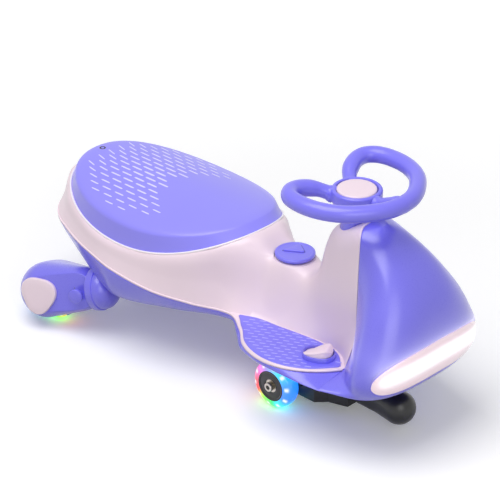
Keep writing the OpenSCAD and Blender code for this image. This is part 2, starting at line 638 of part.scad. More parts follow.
// Accelerator pedal in its cup on the right mat
pedal_rear = -14;
pedal_y = -91;
base_z = step_z + mat_lift + mat_t;
cup_h = 8.5;
cup_wall = 2;
cup_floor = 1.2;
pin_d = 3;
pin_u = pedal_rear + 6.5;
pin_z = base_z + 4.4;
pin_half = 11;
knuckle_w = 10;
pedal_turn = 24;
module at_pedal() {
    at_axis() translate([pedal_rear + pedal_l / 2, pedal_y, 0]) rotate(pedal_turn)
        translate([-pedal_rear - pedal_l / 2, -pedal_y, 0]) children();
}
module pedal_plan(grow_l, grow_w) {
    a = pedal_l / 2 + grow_l;
    b = pedal_w / 2 + grow_w;
    translate([pedal_rear + pedal_l / 2, pedal_y]) polygon([for (t = [0 : 7.5 : 359])
        [a * sign(cos(t)) * abs(cos(t))^0.8, b * sign(sin(t)) * abs(sin(t))^0.8]]);
}
module pedal_bore(d, y0, y1) {
    translate([pin_u, pedal_y + y0, pin_z]) rotate([-90, 0, 0]) cylinder(d = d, h = y1 - y0);
}
module pedal_base() {
    color(violet) at_pedal() difference() {
        union() {
            translate([0, 0, base_z]) difference() {
                linear_extrude(cup_h) pedal_plan(1.5 + cup_wall, 0.8 + cup_wall);
                translate([0, 0, cup_floor]) linear_extrude(cup_h) pedal_plan(1.5, 0.8);
            }
            translate([pin_u - 3, pedal_y - knuckle_w / 2, base_z]) cube([6, knuckle_w, pin_z - base_z]);
            pedal_bore(6, -knuckle_w / 2, knuckle_w / 2);
        }
        pedal_bore(pin_d, -pedal_w / 4, pedal_w / 4);
    }
}
module pedal_pin() {
    color(steel) at_pedal() pedal_bore(pin_d, -pin_half, pin_half);
}
module accelerator_pedal() {
    front = pedal_rear + pedal_l;
    under = pin_z - 2.7;
    under_front = under + 0.8 + (front + 1 - pin_u) * tan(pedal_travel);
    color(pink) at_pedal() difference() {
        intersection() {
            translate([0, 0, base_z]) linear_extrude(pedal_h) pedal_plan(0, 0);
            translate([0, pedal_y + pedal_w, 0]) rotate([90, 0, 0]) linear_extrude(2 * pedal_w) polygon([
                [pedal_rear - 1, under], [pin_u + 3, under], [pin_u + 10, under + 2.2],
                [front + 1, under_front], [front + 1, base_z + 11],
                [front - 5, base_z + pedal_h - 1], [front - 8, base_z + pedal_h],
                [pedal_rear + 16, base_z + 14], [pedal_rear + 4, base_z + 10],
                [pedal_rear - 1, base_z + 8.5]]);
        }
        translate([0, 0, base_z + cup_h + 0.8]) linear_extrude(pedal_h) polygon([
            [pedal_rear - 1, pedal_y - 0.3 * pedal_w], [pedal_rear - 1, pedal_y + 0.52 * pedal_w],
            [pedal_rear + 0.75 * pedal_l, pedal_y + 0.52 * pedal_w]]);
        translate([pin_u - 4, pedal_y - knuckle_w / 2 - 0.6, base_z])
            cube([8, knuckle_w + 1.2, pin_z - base_z + 3.6]);
        pedal_bore(pin_d + 2 * fit, -pin_half - 0.3, pedal_w);
    }
}
module pedal_switch() {
    color(black) at_pedal() translate([pin_u + 18, pedal_y - 5, base_z + cup_floor]) cube([8, 10, 1]);
}

// Power button on its boss
stem_d = button_d - 13;
stem_z = boss_z - 12;
button_gap = button_travel + 0.5;
boss_floor = 4;
module button_bezel() {
    color(pink) at_axis() translate([-button_back, 0, 0]) difference() {
        translate([0, 0, boss_foot_z]) cylinder(d = boss_d, h = boss_z - boss_foot_z);
        translate([0, 0, boss_foot_z + boss_floor]) cylinder(d = stem_d + 0.6, h = 60);
    }
}
module power_button() {
    color(lilac) at_axis() translate([-button_back, 0, 0]) rotate_extrude() polygon([
        [0, stem_z], [stem_d / 2, stem_z], [stem_d / 2, boss_z + button_gap],
        [button_d / 2, boss_z + button_gap], [button_d / 2, button_z - 1.5],
        [button_d / 2 - 2, button_z], [0, button_z]]);
}
module power_switch() {
    h = stem_z - button_travel - 0.3 - (boss_foot_z + boss_floor);
    color(black) at_axis() translate([-button_back, 0, boss_foot_z + boss_floor]) cylinder(d = 16, h = h);
}

// Battery, control box and speaker inside the body
battery_u = hip_u + 20;
battery_z = max(pan_floor(battery_u - battery_l / 2), pan_floor(battery_u + battery_l / 2)) + 0.3;
module battery_pack() {
    color("dimgray") at_axis() translate([battery_u - battery_l / 2, -battery_w / 2, battery_z])
        cube([battery_l, battery_w, battery_h]);
}
module control_board() {
    color("seagreen") at_axis() translate([battery_u - 36, -26, battery_z + battery_h]) cube([72, 52, 14]);
}
speaker_u = hip_u + 150;
module speaker() {
    z = pan_floor(speaker_u + speaker_d / 2) - 0.4;
    color(black) at_axis() translate([speaker_u, 0, z]) rotate_extrude() polygon([
        [0, 0], [speaker_d / 2 - 9, 0], [speaker_d / 2, 16], [speaker_d / 2, 20], [0, 20]]);
}

// Column guide with its two bushes
guide_foot = lip_z - 5;
guide_top = tower_z - 33;
lower_bush_h = 26;
upper_bush_h = 20;
module column_guide() {
    color(black) at_axis() difference() {
        union() {
            translate([0, 0, guide_foot]) cylinder(d = guide_d, h = guide_top - guide_foot);
            translate([0, 0, pan_floor(0)]) cylinder(d = guide_flange_d, h = guide_flange_t);
        }
        translate([0, 0, guide_foot - 1]) cylinder(d = bush_d, h = guide_top);
    }
}
module bush(z, h) {
    color("ivory") at_axis() translate([0, 0, z]) ring(bush_d, column_d + 2 * fit, h);
}
module upper_bush() {
    bush(guide_top - upper_bush_h, upper_bush_h);
}
module lower_bush() {
    bush(guide_foot, lower_bush_h);
}

// Steering wheel: half of the rim's path, from the front round a lobe to the hub
hub_foot = hub_z - 28;
hub_r = hub_d / 2;
rim_x_keys = [
    [0, rim_front], [0.12, rim_front - 4], [0.25, rim_front - 18], [0.38, rim_front - 43],
    [0.5, rim_front - 75], [0.6, -15], [0.7, 18 - rim_back], [0.79, 2 - rim_back], [0.86, 1 - rim_back],
    [0.93, 13 - rim_back], [1, -26]
];
rim_y_keys = [
    [0, 0], [0.12, 26], [0.25, 54], [0.38, rim_half_w - 22], [0.5, rim_half_w - 5], [0.6, rim_half_w],
    [0.7, rim_half_w - 5], [0.79, rim_half_w - 21], [0.86, rim_half_w - 42], [0.93, rim_half_w - 67], [1, 17]
];
rim_z_keys = [[0, rim_z], [0.75, rim_z], [0.86, rim_z - 2], [0.93, rim_z - 7], [1, hub_z - 12]];
rim_rings = 28;
rim_sides = 12;
function rim_point(t) =
    [curve(rim_x_keys, abs(t)), sign(t) * curve(rim_y_keys, abs(t)), curve(rim_z_keys, abs(t))];
function rim_ring(t) =
    let (
        e = 0.004, f = unit(rim_point(min(t + e, 1)) - rim_point(max(t - e, -1))),
        s = unit(cross([0, 0, 1], f)), v = cross(f, s)
    )
    [for (j = [0 : rim_sides - 1]) let (a = j * 360 / rim_sides)
        rim_point(t) + rim_d / 2 * (cos(a) * s + sin(a) * v)];
function tube_faces(n, m) = concat(
    [for (i = [0 : n - 2], j = [0 : m - 1], k = [0, 1])
        let (a = i * m + j, b = i * m + (j + 1) % m) k == 0 ? [a, a + m, b + m] : [a, b + m, b]],
    [[for (j = [0 : m - 1]) j]], [[for (j = [m - 1 : -1 : 0]) (n - 1) * m + j]]);
spoke_d = 19;
module steering_rim() {
    color(lilac) at_axis() difference() {
        union() {
            polyhedron([for (i = [-rim_rings : rim_rings]) each rim_ring(i / rim_rings)],
                tube_faces(2 * rim_rings + 1, rim_sides), convexity = 8);
            translate([0, 0, hub_z - 13]) along([rim_front, 0, rim_z - hub_z + 13])
                cylinder(d = spoke_d, h = rim_front - 2);
        }
        translate([0, 0, hub_foot - 30]) cylinder(d = hub_d, h = 90);
    }
}
horn_t = 8;
horn_gap = 0.3;
collar_foot = guide_top + 6;
socket_top = hub_z - 20;
module steering_hub() {
    floor_z = hub_z - horn_t - horn_travel - horn_gap;
    color(lilac) at_axis() rotate_extrude() polygon([
        [column_r, collar_foot], [collar_d / 2, collar_foot], [collar_d / 2, hub_foot - 8],
        [hub_r - 6, hub_foot], [hub_r, hub_foot + 6], [hub_r, hub_z - 3],
        [hub_r - 3, hub_z], [horn_d / 2 + horn_gap, hub_z],
        [horn_d / 2 + horn_gap, floor_z], [0, floor_z], [0, socket_top], [column_r, socket_top]]);
}
module horn_button() {
    color(pink) at_axis() translate([0, 0, hub_z - horn_t]) rotate_extrude() polygon([
        [0, 0], [horn_d / 2, 0], [horn_d / 2, horn_t - 1], [horn_d / 2 - 1.5, horn_t], [0, horn_t + 0.8]]);
}

// Column, bogie and anti-tip arm
bogie_top = guide_foot - 2.4;
bogie_foot = 34;
bogie_d = 60;
nut_h = 7;
tail_d = 12;
module steering_column() {
    color(steel) at_axis() union() {
        translate([0, 0, bogie_foot]) cylinder(d = column_d, h = socket_top - bogie_foot);
        translate([0, 0, bogie_foot - nut_h - 2]) cylinder(d = tail_d, h = nut_h + 3);
    }
}
module column_nut() {
    color(steel) at_axis() translate([0, 0, bogie_foot - nut_h]) difference() {
        cylinder(d = 24, h = nut_h, $fn = 6);
        translate([0, 0, -1]) cylinder(d = tail_d, h = nut_h + 2);
    }
}
module thrust_washer() {
    color("ivory") at_axis() translate([0, 0, bogie_top]) ring(bush_d + 6, column_d, 2.2);
}
beam_d = 28;
beam_half = front_half_track - wheel_w / 2 - 1.5;
arm_w = 44;
plate_z = bogie_foot - 12;
module front_bogie() {
    w = beam_half - 3;
    color(black) at_axis() difference() {
        union() {
            translate([0, 0, plate_z]) linear_extrude(22) polygon([
                [-trail - 10, -w], [-30, -w], [-14, -42], [18, -32],
                [18, 32], [-14, 42], [-30, w], [-trail - 10, w]]);
            translate([0, 0, bogie_foot]) cylinder(d = bogie_d, h = 34);
            translate([0, 0, bogie_foot]) cylinder(d = bush_d + 12, h = bogie_top - bogie_foot);
            translate([-trail, -arm_w / 2, wheel_r - 2]) cube([trail, arm_w, 28]);
            translate([-trail, -beam_half, wheel_r]) rotate([-90, 0, 0])
                cylinder(d = beam_d, h = 2 * beam_half);
            translate([-trail - 4, -beam_half, wheel_r]) cube([40, 2 * beam_half, beam_d / 2]);
        }
        translate([0, 0, bogie_foot - 1]) cylinder(d = column_d, h = 120);
        translate([0, 0, plate_z - 1]) cylinder(d = 31, h = bogie_foot - plate_z + 1);
        translate([-trail, -front_half_track, wheel_r]) rotate([-90, 0, 0])
            cylinder(d = axle_d, h = 2 * front_half_track);
    }
}
knob_u = 97;
knob_z = 41;
knob_r = 27;
tip_arm_w = 46;
tip_arm_h = 30;
module anti_tip_arm() {
    color(black) at_axis() difference() {
        union() {
            translate([0, -tip_arm_w / 2, plate_z]) cube([knob_u - 8, tip_arm_w, tip_arm_h]);
            translate([knob_u - 14, 0, knob_z]) rotate([0, 90, 0]) cylinder(d = 22, h = 20);
        }
        translate([0, 0, bogie_foot - 20]) cylinder(d = bogie_d, h = 80);
        translate([knob_u, 0, knob_z]) sphere(r = knob_r);
    }
}
module anti_tip_knob() {
    color(black) at_axis() translate([knob_u, 0, knob_z]) sphere(r = knob_r);
}

// Wheels
end_nut_d = 15;
axle_end = front_half_track + wheel_w / 2;
module front_axle() {
    color(steel) at_axis() translate([-trail, 0, wheel_r]) rotate([-90, 0, 0]) union() {
        translate([0, 0, -axle_end - 6]) cylinder(d = axle_d, h = 2 * axle_end + 12);
        for (s = [-1, 1]) translate([0, 0, s * (axle_end + 3) - 2.5]) cylinder(d = end_nut_d, h = 5);
    }
}
module at_wheel(u, y) {
    at_axis() translate([u, y, wheel_r]) rotate([-90, 0, 0]) translate([0, 0, -wheel_w / 2]) children();
}
tread = 5;
module tyre() {
    rotate_extrude() polygon([
        [wheel_hub_d / 2, 0.5], [wheel_r - tread - 2, 0], [wheel_r - 1.5, tread], [wheel_r, tread + 4],
        [wheel_r, wheel_w - tread - 4], [wheel_r - 1.5, wheel_w - tread], [wheel_r - tread - 2, wheel_w],
        [wheel_hub_d / 2, wheel_w - 0.5]]);
}
face_in = 1;
bearing_in = 2;
lip_w = 2;
module wheel_hub() {
    b = bearing_d / 2;
    seat = bearing_in + bearing_w;
    rotate_extrude() polygon([
        [b - lip_w, seat], [b, seat], [b, face_in], [wheel_hub_d / 2 - 4, face_in], [wheel_hub_d / 2 - 3, 0],
        [wheel_hub_d / 2, 0], [wheel_hub_d / 2, wheel_w], [wheel_hub_d / 2 - 3, wheel_w],
        [wheel_hub_d / 2 - 4, wheel_w - face_in], [b, wheel_w - face_in], [b, wheel_w - seat],
        [b - lip_w, wheel_w - seat]]);
}
module bearings() {
    for (z = [bearing_in, wheel_w - bearing_in - bearing_w])
        translate([0, 0, z]) ring(bearing_d, axle_d + 2 * fit, bearing_w);
}
module front_hub_right() {
    color(black) at_wheel(-trail, -front_half_track) wheel_hub();
}
module front_hub_left() {
    color(black) at_wheel(-trail, front_half_track) wheel_hub();
}
module front_tyre_right() {
    color("aquamarine") at_wheel(-trail, -front_half_track) tyre();
}
module front_tyre_left() {
    color("aquamarine") at_wheel(-trail, front_half_track) tyre();
}
module front_bearings_right() {
    color(steel) at_wheel(-trail, -front_half_track) bearings();
}
module front_bearings_left() {
    color(steel) at_wheel(-trail, front_half_track) bearings();
}
module rear_hub_right() {
    color(black) at_wheel(-rear_axle, -rear_half_track) wheel_hub();
}
module rear_hub_left() {
    color(black) at_wheel(-rear_axle, rear_half_track) wheel_hub();
}
module rear_tyre_right() {
    color("aquamarine") at_wheel(-rear_axle, -rear_half_track) tyre();
}
module rear_tyre_left() {
    color("aquamarine") at_wheel(-rear_axle, rear_half_track) tyre();
}
module rear_bearings_right() {
    color(steel) at_wheel(-rear_axle, -rear_half_track) bearings();
}
module rear_bearings_left() {
    color(steel) at_wheel(-rear_axle, rear_half_track) bearings();
}

// Rear pods: a bulb over the wheel and a neck that runs forward to a collar in the pan
bulb_at = [-rear_axle - 2.5, -rear_half_track - 12.7, wheel_r + 14];
inner_at = [-rear_axle, -rear_half_track + 9.5, wheel_r + 14];
neck_at = [-rear_axle + 64, -rear_half_track + 1.5, wheel_r + 36];
arm_dir = unit([92, 24, 28]);
cover_dir = [0.34, -0.913, 0.223];
cover_seat = 36;
arm_start = 99;
arm_len = 14;
arm_nose = 26;
cavity_w = wheel_w + 2 * pod_gap + 2;
cavity_in = rear_half_track - cavity_w / 2;
axle_in = rear_half_track - 38;
axle_out = rear_half_track + 31;
// Round arm of the collar, grown by a gap where the pan is cut for it
module pod_arm(gap) {
    translate(bulb_at + arm_start * arm_dir) along(arm_dir) rotate_extrude() polygon(concat(
        [[0, -gap], [neck_r - 1 + gap, -gap]],
        [for (a = [0 : 15 : 90]) [(neck_r - 1 + gap) * cos(a), arm_len + (arm_nose + gap) * sin(a)]]));
}
module pod_collar() {
    at_axis() pod_arm(0);
}
module rear_pod() {
    at_axis() difference() {
        hull() {
            translate(bulb_at) sphere(r = bulb_r, $fn = 36);
            translate(inner_at) sphere(r = bulb_r - 4.5, $fn = 36);
            translate(neck_at) sphere(r = neck_r, $fn = 36);
        }
        translate(bulb_at + (arm_start - seam) * arm_dir) along(arm_dir) cylinder(r = 90, h = 80);
        translate(bulb_at + cover_seat * cover_dir) along(cover_dir) cylinder(r = 70, h = 40);
        translate([-rear_axle, -cavity_in, wheel_r]) rotate([90, 0, 0])
            cylinder(r = wheel_r + pod_gap, h = cavity_w);
        translate([-rear_axle, -axle_in, wheel_r]) rotate([90, 0, 0])
            cylinder(d = axle_d, h = axle_out - axle_in);
        translate(plug_at) along(plug_dir) cylinder(d = plug_d + 2 * seam, h = 40);
        translate(motor_at) rotate([-90, 0, 0]) cylinder(d = motor_d + 2 * seam, h = 100);
    }
}
plug_dir = unit([0.48, -0.86, 0.12]);
plug_at = neck_at + (neck_r - 4) * plug_dir;
motor_at = neck_at + [-6, -20, 0];
motor_l = 46;
// Cover with a soft three-cornered outline, one corner down
cover_lobe = 0.09;
module pod_cover() {
    at_axis() translate(bulb_at + cover_seat * cover_dir) along(cover_dir)
        linear_extrude(cover_t, scale = 0.95) polygon([for (a = [0 : 5 : 355])
            cover_d / 2 * (1 + cover_lobe * cos(3 * a)) * [cos(a), sin(a)]]);
}
module pod_plug() {
    at_axis() translate(plug_at) along(plug_dir) rotate_extrude() polygon([
        [0, 0], [plug_d / 2, 0], [plug_d / 2, 4], [plug_d / 2 - 2.5, 6], [0, 6.5]]);
}
module gear_motor() {
    at_axis() translate(motor_at) rotate([-90, 0, 0]) cylinder(d = motor_d, h = motor_l);
}
module rear_axle_rod() {
    near = rear_half_track - wheel_w / 2 + bearing_in - seam;
    far = rear_half_track + wheel_w / 2 - bearing_in + seam;
    r = axle_r + 1.5;
    at_axis() translate([-rear_axle, 0, wheel_r]) rotate([90, 0, 0]) rotate_extrude() polygon([
        [0, axle_in], [axle_r, axle_in], [axle_r, cavity_in], [r, cavity_in], [r, near], [axle_r, near],
        [axle_r, far], [r, far], [r, cavity_in + cavity_w], [axle_r, cavity_in + cavity_w],
        [axle_r, axle_out], [0, axle_out]]);
}
module rear_pod_right() {
    color(violet) rear_pod();
}
module rear_pod_left() {
    color(violet) left() rear_pod();
}
module pod_collar_right() {
    color(violet) pod_collar();
}
module pod_collar_left() {
    color(violet) left() pod_collar();
}
module pod_cover_right() {
    color(pink) pod_cover();
}
module pod_cover_left() {
    color(pink) left() pod_cover();
}
module pod_plug_right() {
    color(violet) pod_plug();
}
module pod_plug_left() {
    color(violet) left() pod_plug();
}
module gear_motor_right() {
    color("dimgray") gear_motor();
}
module gear_motor_left() {
    color("dimgray") left() gear_motor();
}
module rear_axle_right() {
    color(steel) rear_axle_rod();
}
module rear_axle_left() {
    color(steel) left() rear_axle_rod();
}

screw_l = 9;
module pan_screws() {
    color(steel) at_axis() for (p = bolt_places)
        translate([p[0], p[1], pan_floor(p[0]) - shell_wall]) union() {
            translate([0, 0, -2]) cylinder(d = 2 * screw_d, h = 2);
            translate([0, 0, -1]) cylinder(d = screw_d, h = screw_l);
        }
}

lower_pan();
upper_shell();
front_cowl();
seat_cover();
headlight_lens();
headlight_board();
foot_mat_right();
foot_mat_left();
pedal_base();
pedal_pin();
pedal_switch();
accelerator_pedal();
button_bezel();
power_switch();
power_button();
battery_pack();
control_board();
speaker();
charge_socket();
column_guide();
upper_bush();
lower_bush();
pod_collar_right();
pod_collar_left();
rear_pod_right();
rear_pod_left();
pod_cover_right();
pod_cover_left();
pod_plug_right();
pod_plug_left();
gear_motor_right();
gear_motor_left();
rear_axle_right();
rear_axle_left();
rear_hub_right();
rear_hub_left();
rear_tyre_right();
rear_tyre_left();
rear_bearings_right();
rear_bearings_left();
steering_rim();
steering_hub();
horn_button();
steering_column();
column_nut();
front_bogie();
thrust_washer();
anti_tip_arm();
anti_tip_knob();
front_axle();
front_hub_right();
front_hub_left();
front_tyre_right();
front_tyre_left();
front_bearings_right();
front_bearings_left();
pan_screws();
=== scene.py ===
"""Dressed scene of a ride-on wiggle car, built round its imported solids.

Lengths in the forms are millimetres and places along the car are measured forward from the steering axis;
meshes are written in metres in the frame of the solids.
"""

import json
import logging
import math
from dataclasses import dataclass, replace
from enum import Enum
from typing import Callable, Optional, Sequence

import bmesh
import bpy
import numpy as np
from mathutils import Matrix


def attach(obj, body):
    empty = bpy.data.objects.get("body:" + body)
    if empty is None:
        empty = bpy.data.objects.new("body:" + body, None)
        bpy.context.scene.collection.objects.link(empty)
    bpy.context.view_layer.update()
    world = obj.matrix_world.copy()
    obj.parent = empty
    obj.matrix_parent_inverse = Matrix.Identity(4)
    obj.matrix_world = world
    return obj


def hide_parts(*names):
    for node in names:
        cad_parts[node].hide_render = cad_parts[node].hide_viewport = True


Array = np.ndarray
Keys = Sequence[tuple[float, float]]
Rgb = tuple[float, float, float]

log = logging.getLogger("wiggle_car")
AXIS_X = 213.0
MM_PER_M = 1000.0
WELD_M = 2e-6
SLIVER_M = 1e-7
UP = (0, 0, 1)
CENTRE = (0, 0, 0)

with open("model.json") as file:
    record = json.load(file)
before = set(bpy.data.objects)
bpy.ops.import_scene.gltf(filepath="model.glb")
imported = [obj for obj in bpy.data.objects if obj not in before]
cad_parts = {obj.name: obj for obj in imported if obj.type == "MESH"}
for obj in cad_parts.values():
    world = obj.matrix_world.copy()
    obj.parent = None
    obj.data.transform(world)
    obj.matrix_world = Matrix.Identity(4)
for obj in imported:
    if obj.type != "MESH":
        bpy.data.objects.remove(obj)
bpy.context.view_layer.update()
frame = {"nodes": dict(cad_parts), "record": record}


class Side(Enum):
    """The two sides of the car, valued by the sign of Y."""

    RIGHT = -1
    LEFT = 1

    @property
    def label(self) -> str:
        """Name used in node and piece names."""
        return self.name.lower()


# Curves and surfaces.


def keyed(keys: Keys, x: Array) -> Array:
    """Cubic Hermite curve through keyed values; a key's slope is the chord between its neighbours.

    Args:
        keys: Pairs of place and value, in rising order of place.
        x: Places to read, held inside the keyed span.

    Returns:
        The curve's values at those places.
    """
    k = np.asarray(keys, float)
    place, value = k[:, 0], k[:, 1]
    slope = np.concatenate(([(value[1] - value[0]) / (place[1] - place[0])],
                            (value[2:] - value[:-2]) / (place[2:] - place[:-2]),
                            [(value[-1] - value[-2]) / (place[-1] - place[-2])]))
    x = np.clip(np.asarray(x, float), place[0], place[-1])
    i = np.clip(np.searchsorted(place, x, side="right") - 1, 0, len(k) - 2)
    h = place[i + 1] - place[i]
    t = (x - place[i]) / h
    return ((2 * t**3 - 3 * t**2 + 1) * value[i] + (t**3 - 2 * t**2 + t) * h * slope[i]
            + (3 * t**2 - 2 * t**3) * value[i + 1] + (t**3 - t**2) * h * slope[i + 1])


def taper(x: Array, start: float, end: float, power: float) -> Array:
    """One up to start, then falling to nought at end as a superellipse of the given power does."""
    s = np.clip((np.asarray(x, float) - start) / (end - start), 0, 1)
    return (1 - s**power) ** (1 / power)


def smooth(x: Array, low: float, high: float) -> Array:
    """Smooth step from nought at low to one at high, as 3t squared less 2t cubed."""
    t = np.clip((np.asarray(x, float) - low) / (high - low), 0, 1)
    return t * t * (3 - 2 * t)


def unit(v: Array) -> Array:
    """Vectors scaled to length one along the last axis."""
    return v / np.maximum(np.linalg.norm(v, axis=-1, keepdims=True), 1e-12)


@dataclass(frozen=True)
class Hole:
    """An opening seen from above: a superellipse round a centre, cut between two heights."""

    centre: tuple[float, float]
    half: tuple[float, float]
    power: float = 2.0
    low: float = 0.0
    high: float = 1000.0

    def reach(self, points: Array) -> Array:
        """Distance of points from the centre, one on the opening's edge."""
        share = np.abs(points[..., :2] - self.centre) / self.half
        return (share**self.power).sum(-1) ** (1 / self.power)


@dataclass
class Patch:
    """A grid of points with its faces and its wraps."""

    points: Array
    wrap_rows: bool = False
    wrap_columns: bool = False
    flip: bool = False
    kept: Optional[Array] = None

    def faces(self) -> Array:
        """Quads between neighbouring rows and columns, turned round where the patch is flipped."""
        if self.kept is not None:
            return self.kept
        n, m = self.points.shape[:2]
        i, j = np.meshgrid(np.arange(n if self.wrap_rows else n - 1),
                           np.arange(m if self.wrap_columns else m - 1), indexing="ij")
        i1, j1 = (i + 1) % n, (j + 1) % m
        quads = np.stack([i * m + j, i1 * m + j, i1 * m + j1, i * m + j1], -1).reshape(-1, 4)
        return quads[:, ::-1] if self.flip else quads

    def normals(self) -> Array:
        """Unit normals of the grid, as the cross product of its row and column steps."""
        n = unit(np.cross(np.gradient(self.points, axis=0), np.gradient(self.points, axis=1)))
        return -n if self.flip else n

    def punch(self, hole: Hole) -> None:
        """Takes out the quads whose middle lies in an opening and draws the cut's edge onto its outline."""
        flat, normal, quads = self.points.reshape(-1, 3), self.normals().reshape(-1, 3), self.faces()
        mid = flat[quads].mean(1)
        gone = (hole.reach(mid) < 1) & (mid[:, 2] > hole.low) & (mid[:, 2] < hole.high)
        rim = np.intersect1d(quads[gone], quads[~gone])
        shift = (flat[rim, :2] - hole.centre) * (1 / hole.reach(flat[rim]) - 1)[:, None]
        steep = np.where(np.abs(normal[rim, 2]) < 0.3, 0.3 * np.sign(normal[rim, 2]) + 1e-9, normal[rim, 2])
        flat[rim, 2] -= (normal[rim, :2] * shift).sum(-1) / steep
        flat[rim, :2] += shift
        self.points, self.kept = flat.reshape(self.points.shape), quads[~gone]


def make_piece(name: str, patches: Sequence[Patch], body: str, finish: "Plastic | Glow",
               nodes: Sequence[str] = (), wall: float = 0.0, weld: bool = True, sharp: float = 40.0,
               outward: bool = True) -> bpy.types.Object:
    """Joins patches into one dressed mesh piece that rides on a body.

    Args:
        name: Piece name.
        patches: Grids in millimetres from the steering axis.
        body: Body that carries the piece.
        finish: Finish of the whole piece.
        nodes: Solids that the piece stands for.
        wall: Thickness that an open skin is given inwards, in millimetres.
        weld: Merge coincident points, which closes seams and poles.
        sharp: Angle in degrees above which an edge is shaded as a crease.
        outward: Recalculate normals so that closed shells face outwards.

    Returns:
        The new object, at the origin.
    """
    points, faces, start = [], [], 0
    for p in patches:
        points.append(p.points.reshape(-1, 3))
        faces.append(p.faces() + start)
        start += len(points[-1])
    co = (np.concatenate(points) + [AXIS_X, 0, 0]) / MM_PER_M
    mesh = bpy.data.meshes.new(name)
    mesh.from_pydata(co.tolist(), [], np.concatenate(faces).tolist())
    if weld:
        bm = bmesh.new()
        bm.from_mesh(mesh)
        bmesh.ops.remove_doubles(bm, verts=bm.verts, dist=WELD_M)
        bmesh.ops.dissolve_degenerate(bm, edges=bm.edges, dist=SLIVER_M)
        if outward:
            bmesh.ops.recalc_face_normals(bm, faces=bm.faces)
        bm.to_mesh(mesh)
        bm.free()
    mesh.shade_smooth()
    mesh.set_sharp_from_angle(angle=math.radians(sharp))
    piece = bpy.data.objects.new(name, mesh)
    bpy.context.scene.collection.objects.link(piece)
    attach(piece, body)
    if nodes:
        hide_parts(*nodes)
    if wall:
        skin = piece.modifiers.new("wall", "SOLIDIFY")
        skin.thickness, skin.offset = wall / MM_PER_M, -1.0
    dress(piece, finish)
    log.info("piece %s on %s, %d faces", name, body, len(mesh.polygons))
    return piece


def revolve(profile: Sequence[tuple[float, float]], centre: Sequence[float], axis: Sequence[float],
            turns: int = 64) -> Patch:
    """A profile of radius and height carried once round an axis through a centre.

    Args:
        profile: Pairs of radius and distance along the axis.
        centre: Point that the distances are measured from.
        axis: Direction of the axis.
        turns: Steps round the axis.

    Returns:
        The closed ring of rows.
    """
    p = np.asarray(profile, float)
    w = unit(np.asarray(axis, float))
    side = unit(np.cross(w, [0.0, 0, 1] if abs(w[2]) < 0.9 else [1.0, 0, 0]))
    other = np.cross(w, side)
    a = np.linspace(0, 2 * np.pi, turns, endpoint=False)
    round_ = np.cos(a)[:, None] * side + np.sin(a)[:, None] * other
    points = np.asarray(centre, float) + p[None, :, 0:1] * round_[:, None] + p[None, :, 1:2] * w
    return Patch(points, wrap_rows=True)


def rounded(corners: Sequence[tuple[float, float, float]], steps: int = 5) -> list[tuple[float, float]]:
    """A profile whose corners are rounded by quadratic arcs.

    Args:
        corners: Triples of radius, height and the size of the rounding there.
        steps: Points on each rounded corner.

    Returns:
        Pairs of radius and height along the profile.
    """
    c = np.asarray(corners, float)
    out: list[tuple[float, float]] = []
    t = np.linspace(0, 1, steps)[:, None]
    for i, (r, h, size) in enumerate(c):
        here = c[i, :2]
        if size <= 0 or i in (0, len(c) - 1):
            out.append((r, h))
            continue
        back, ahead = c[i - 1, :2] - here, c[i + 1, :2] - here
        cut = min(size, 0.49 * np.linalg.norm(back), 0.49 * np.linalg.norm(ahead))
        p0, p2 = here + unit(back) * cut, here + unit(ahead) * cut
        out.extend(map(tuple, (1 - t) ** 2 * p0 + 2 * t * (1 - t) * here + t**2 * p2))
    return out


def tube(path: Array, radius: Array, sides: int, closed: bool = False, up: Sequence[float] = UP) -> Patch:
    """A circle carried along a path, square to it, with the ends of an open path drawn in to points.

    Args:
        path: Points of the path.
        radius: Radius at each point.
        sides: Steps round the circle.
        closed: The path is a loop.
        up: Direction that the circle's first axis is kept square to.

    Returns:
        The skin of the tube.
    """
    ahead = np.roll(path, -1, 0) - np.roll(path, 1, 0) if closed else np.gradient(path, axis=0)
    f = unit(ahead)
    s = unit(np.cross(np.asarray(up, float), f))
    v = np.cross(f, s)
    a = np.linspace(0, 2 * np.pi, sides, endpoint=False)
    ring = np.cos(a)[None, :, None] * s[:, None] + np.sin(a)[None, :, None] * v[:, None]
    points = path[:, None] + np.broadcast_to(radius, len(path))[:, None, None] * ring
    if not closed:
        first, last = np.repeat(path[:1, None], sides, 1), np.repeat(path[-1:, None], sides, 1)
        points = np.concatenate((first, points, last))
    return Patch(points, wrap_rows=closed, wrap_columns=True)


def pad_grid(top: Array, bottom: Array) -> list[Patch]:
    """A closed pad from a top grid, a bottom grid and the strips that join their borders."""
    strips = ((top[0], bottom[0]), (top[-1], bottom[-1]), (top[:, 0], bottom[:, 0]), (top[:, -1], bottom[:, -1]))
    return [Patch(top), Patch(bottom)] + [Patch(np.stack(pair)) for pair in strips]


def edge_roll(distance: Array, size: float, depth: float) -> Array:
    """Fall of a surface towards an edge: a quarter ellipse of the given size and depth, nought beyond it."""
    return depth * (1 - np.sqrt(np.clip(1 - np.clip(1 - distance / size, 0, 1) ** 2, 0, 1)))


# Finishes.


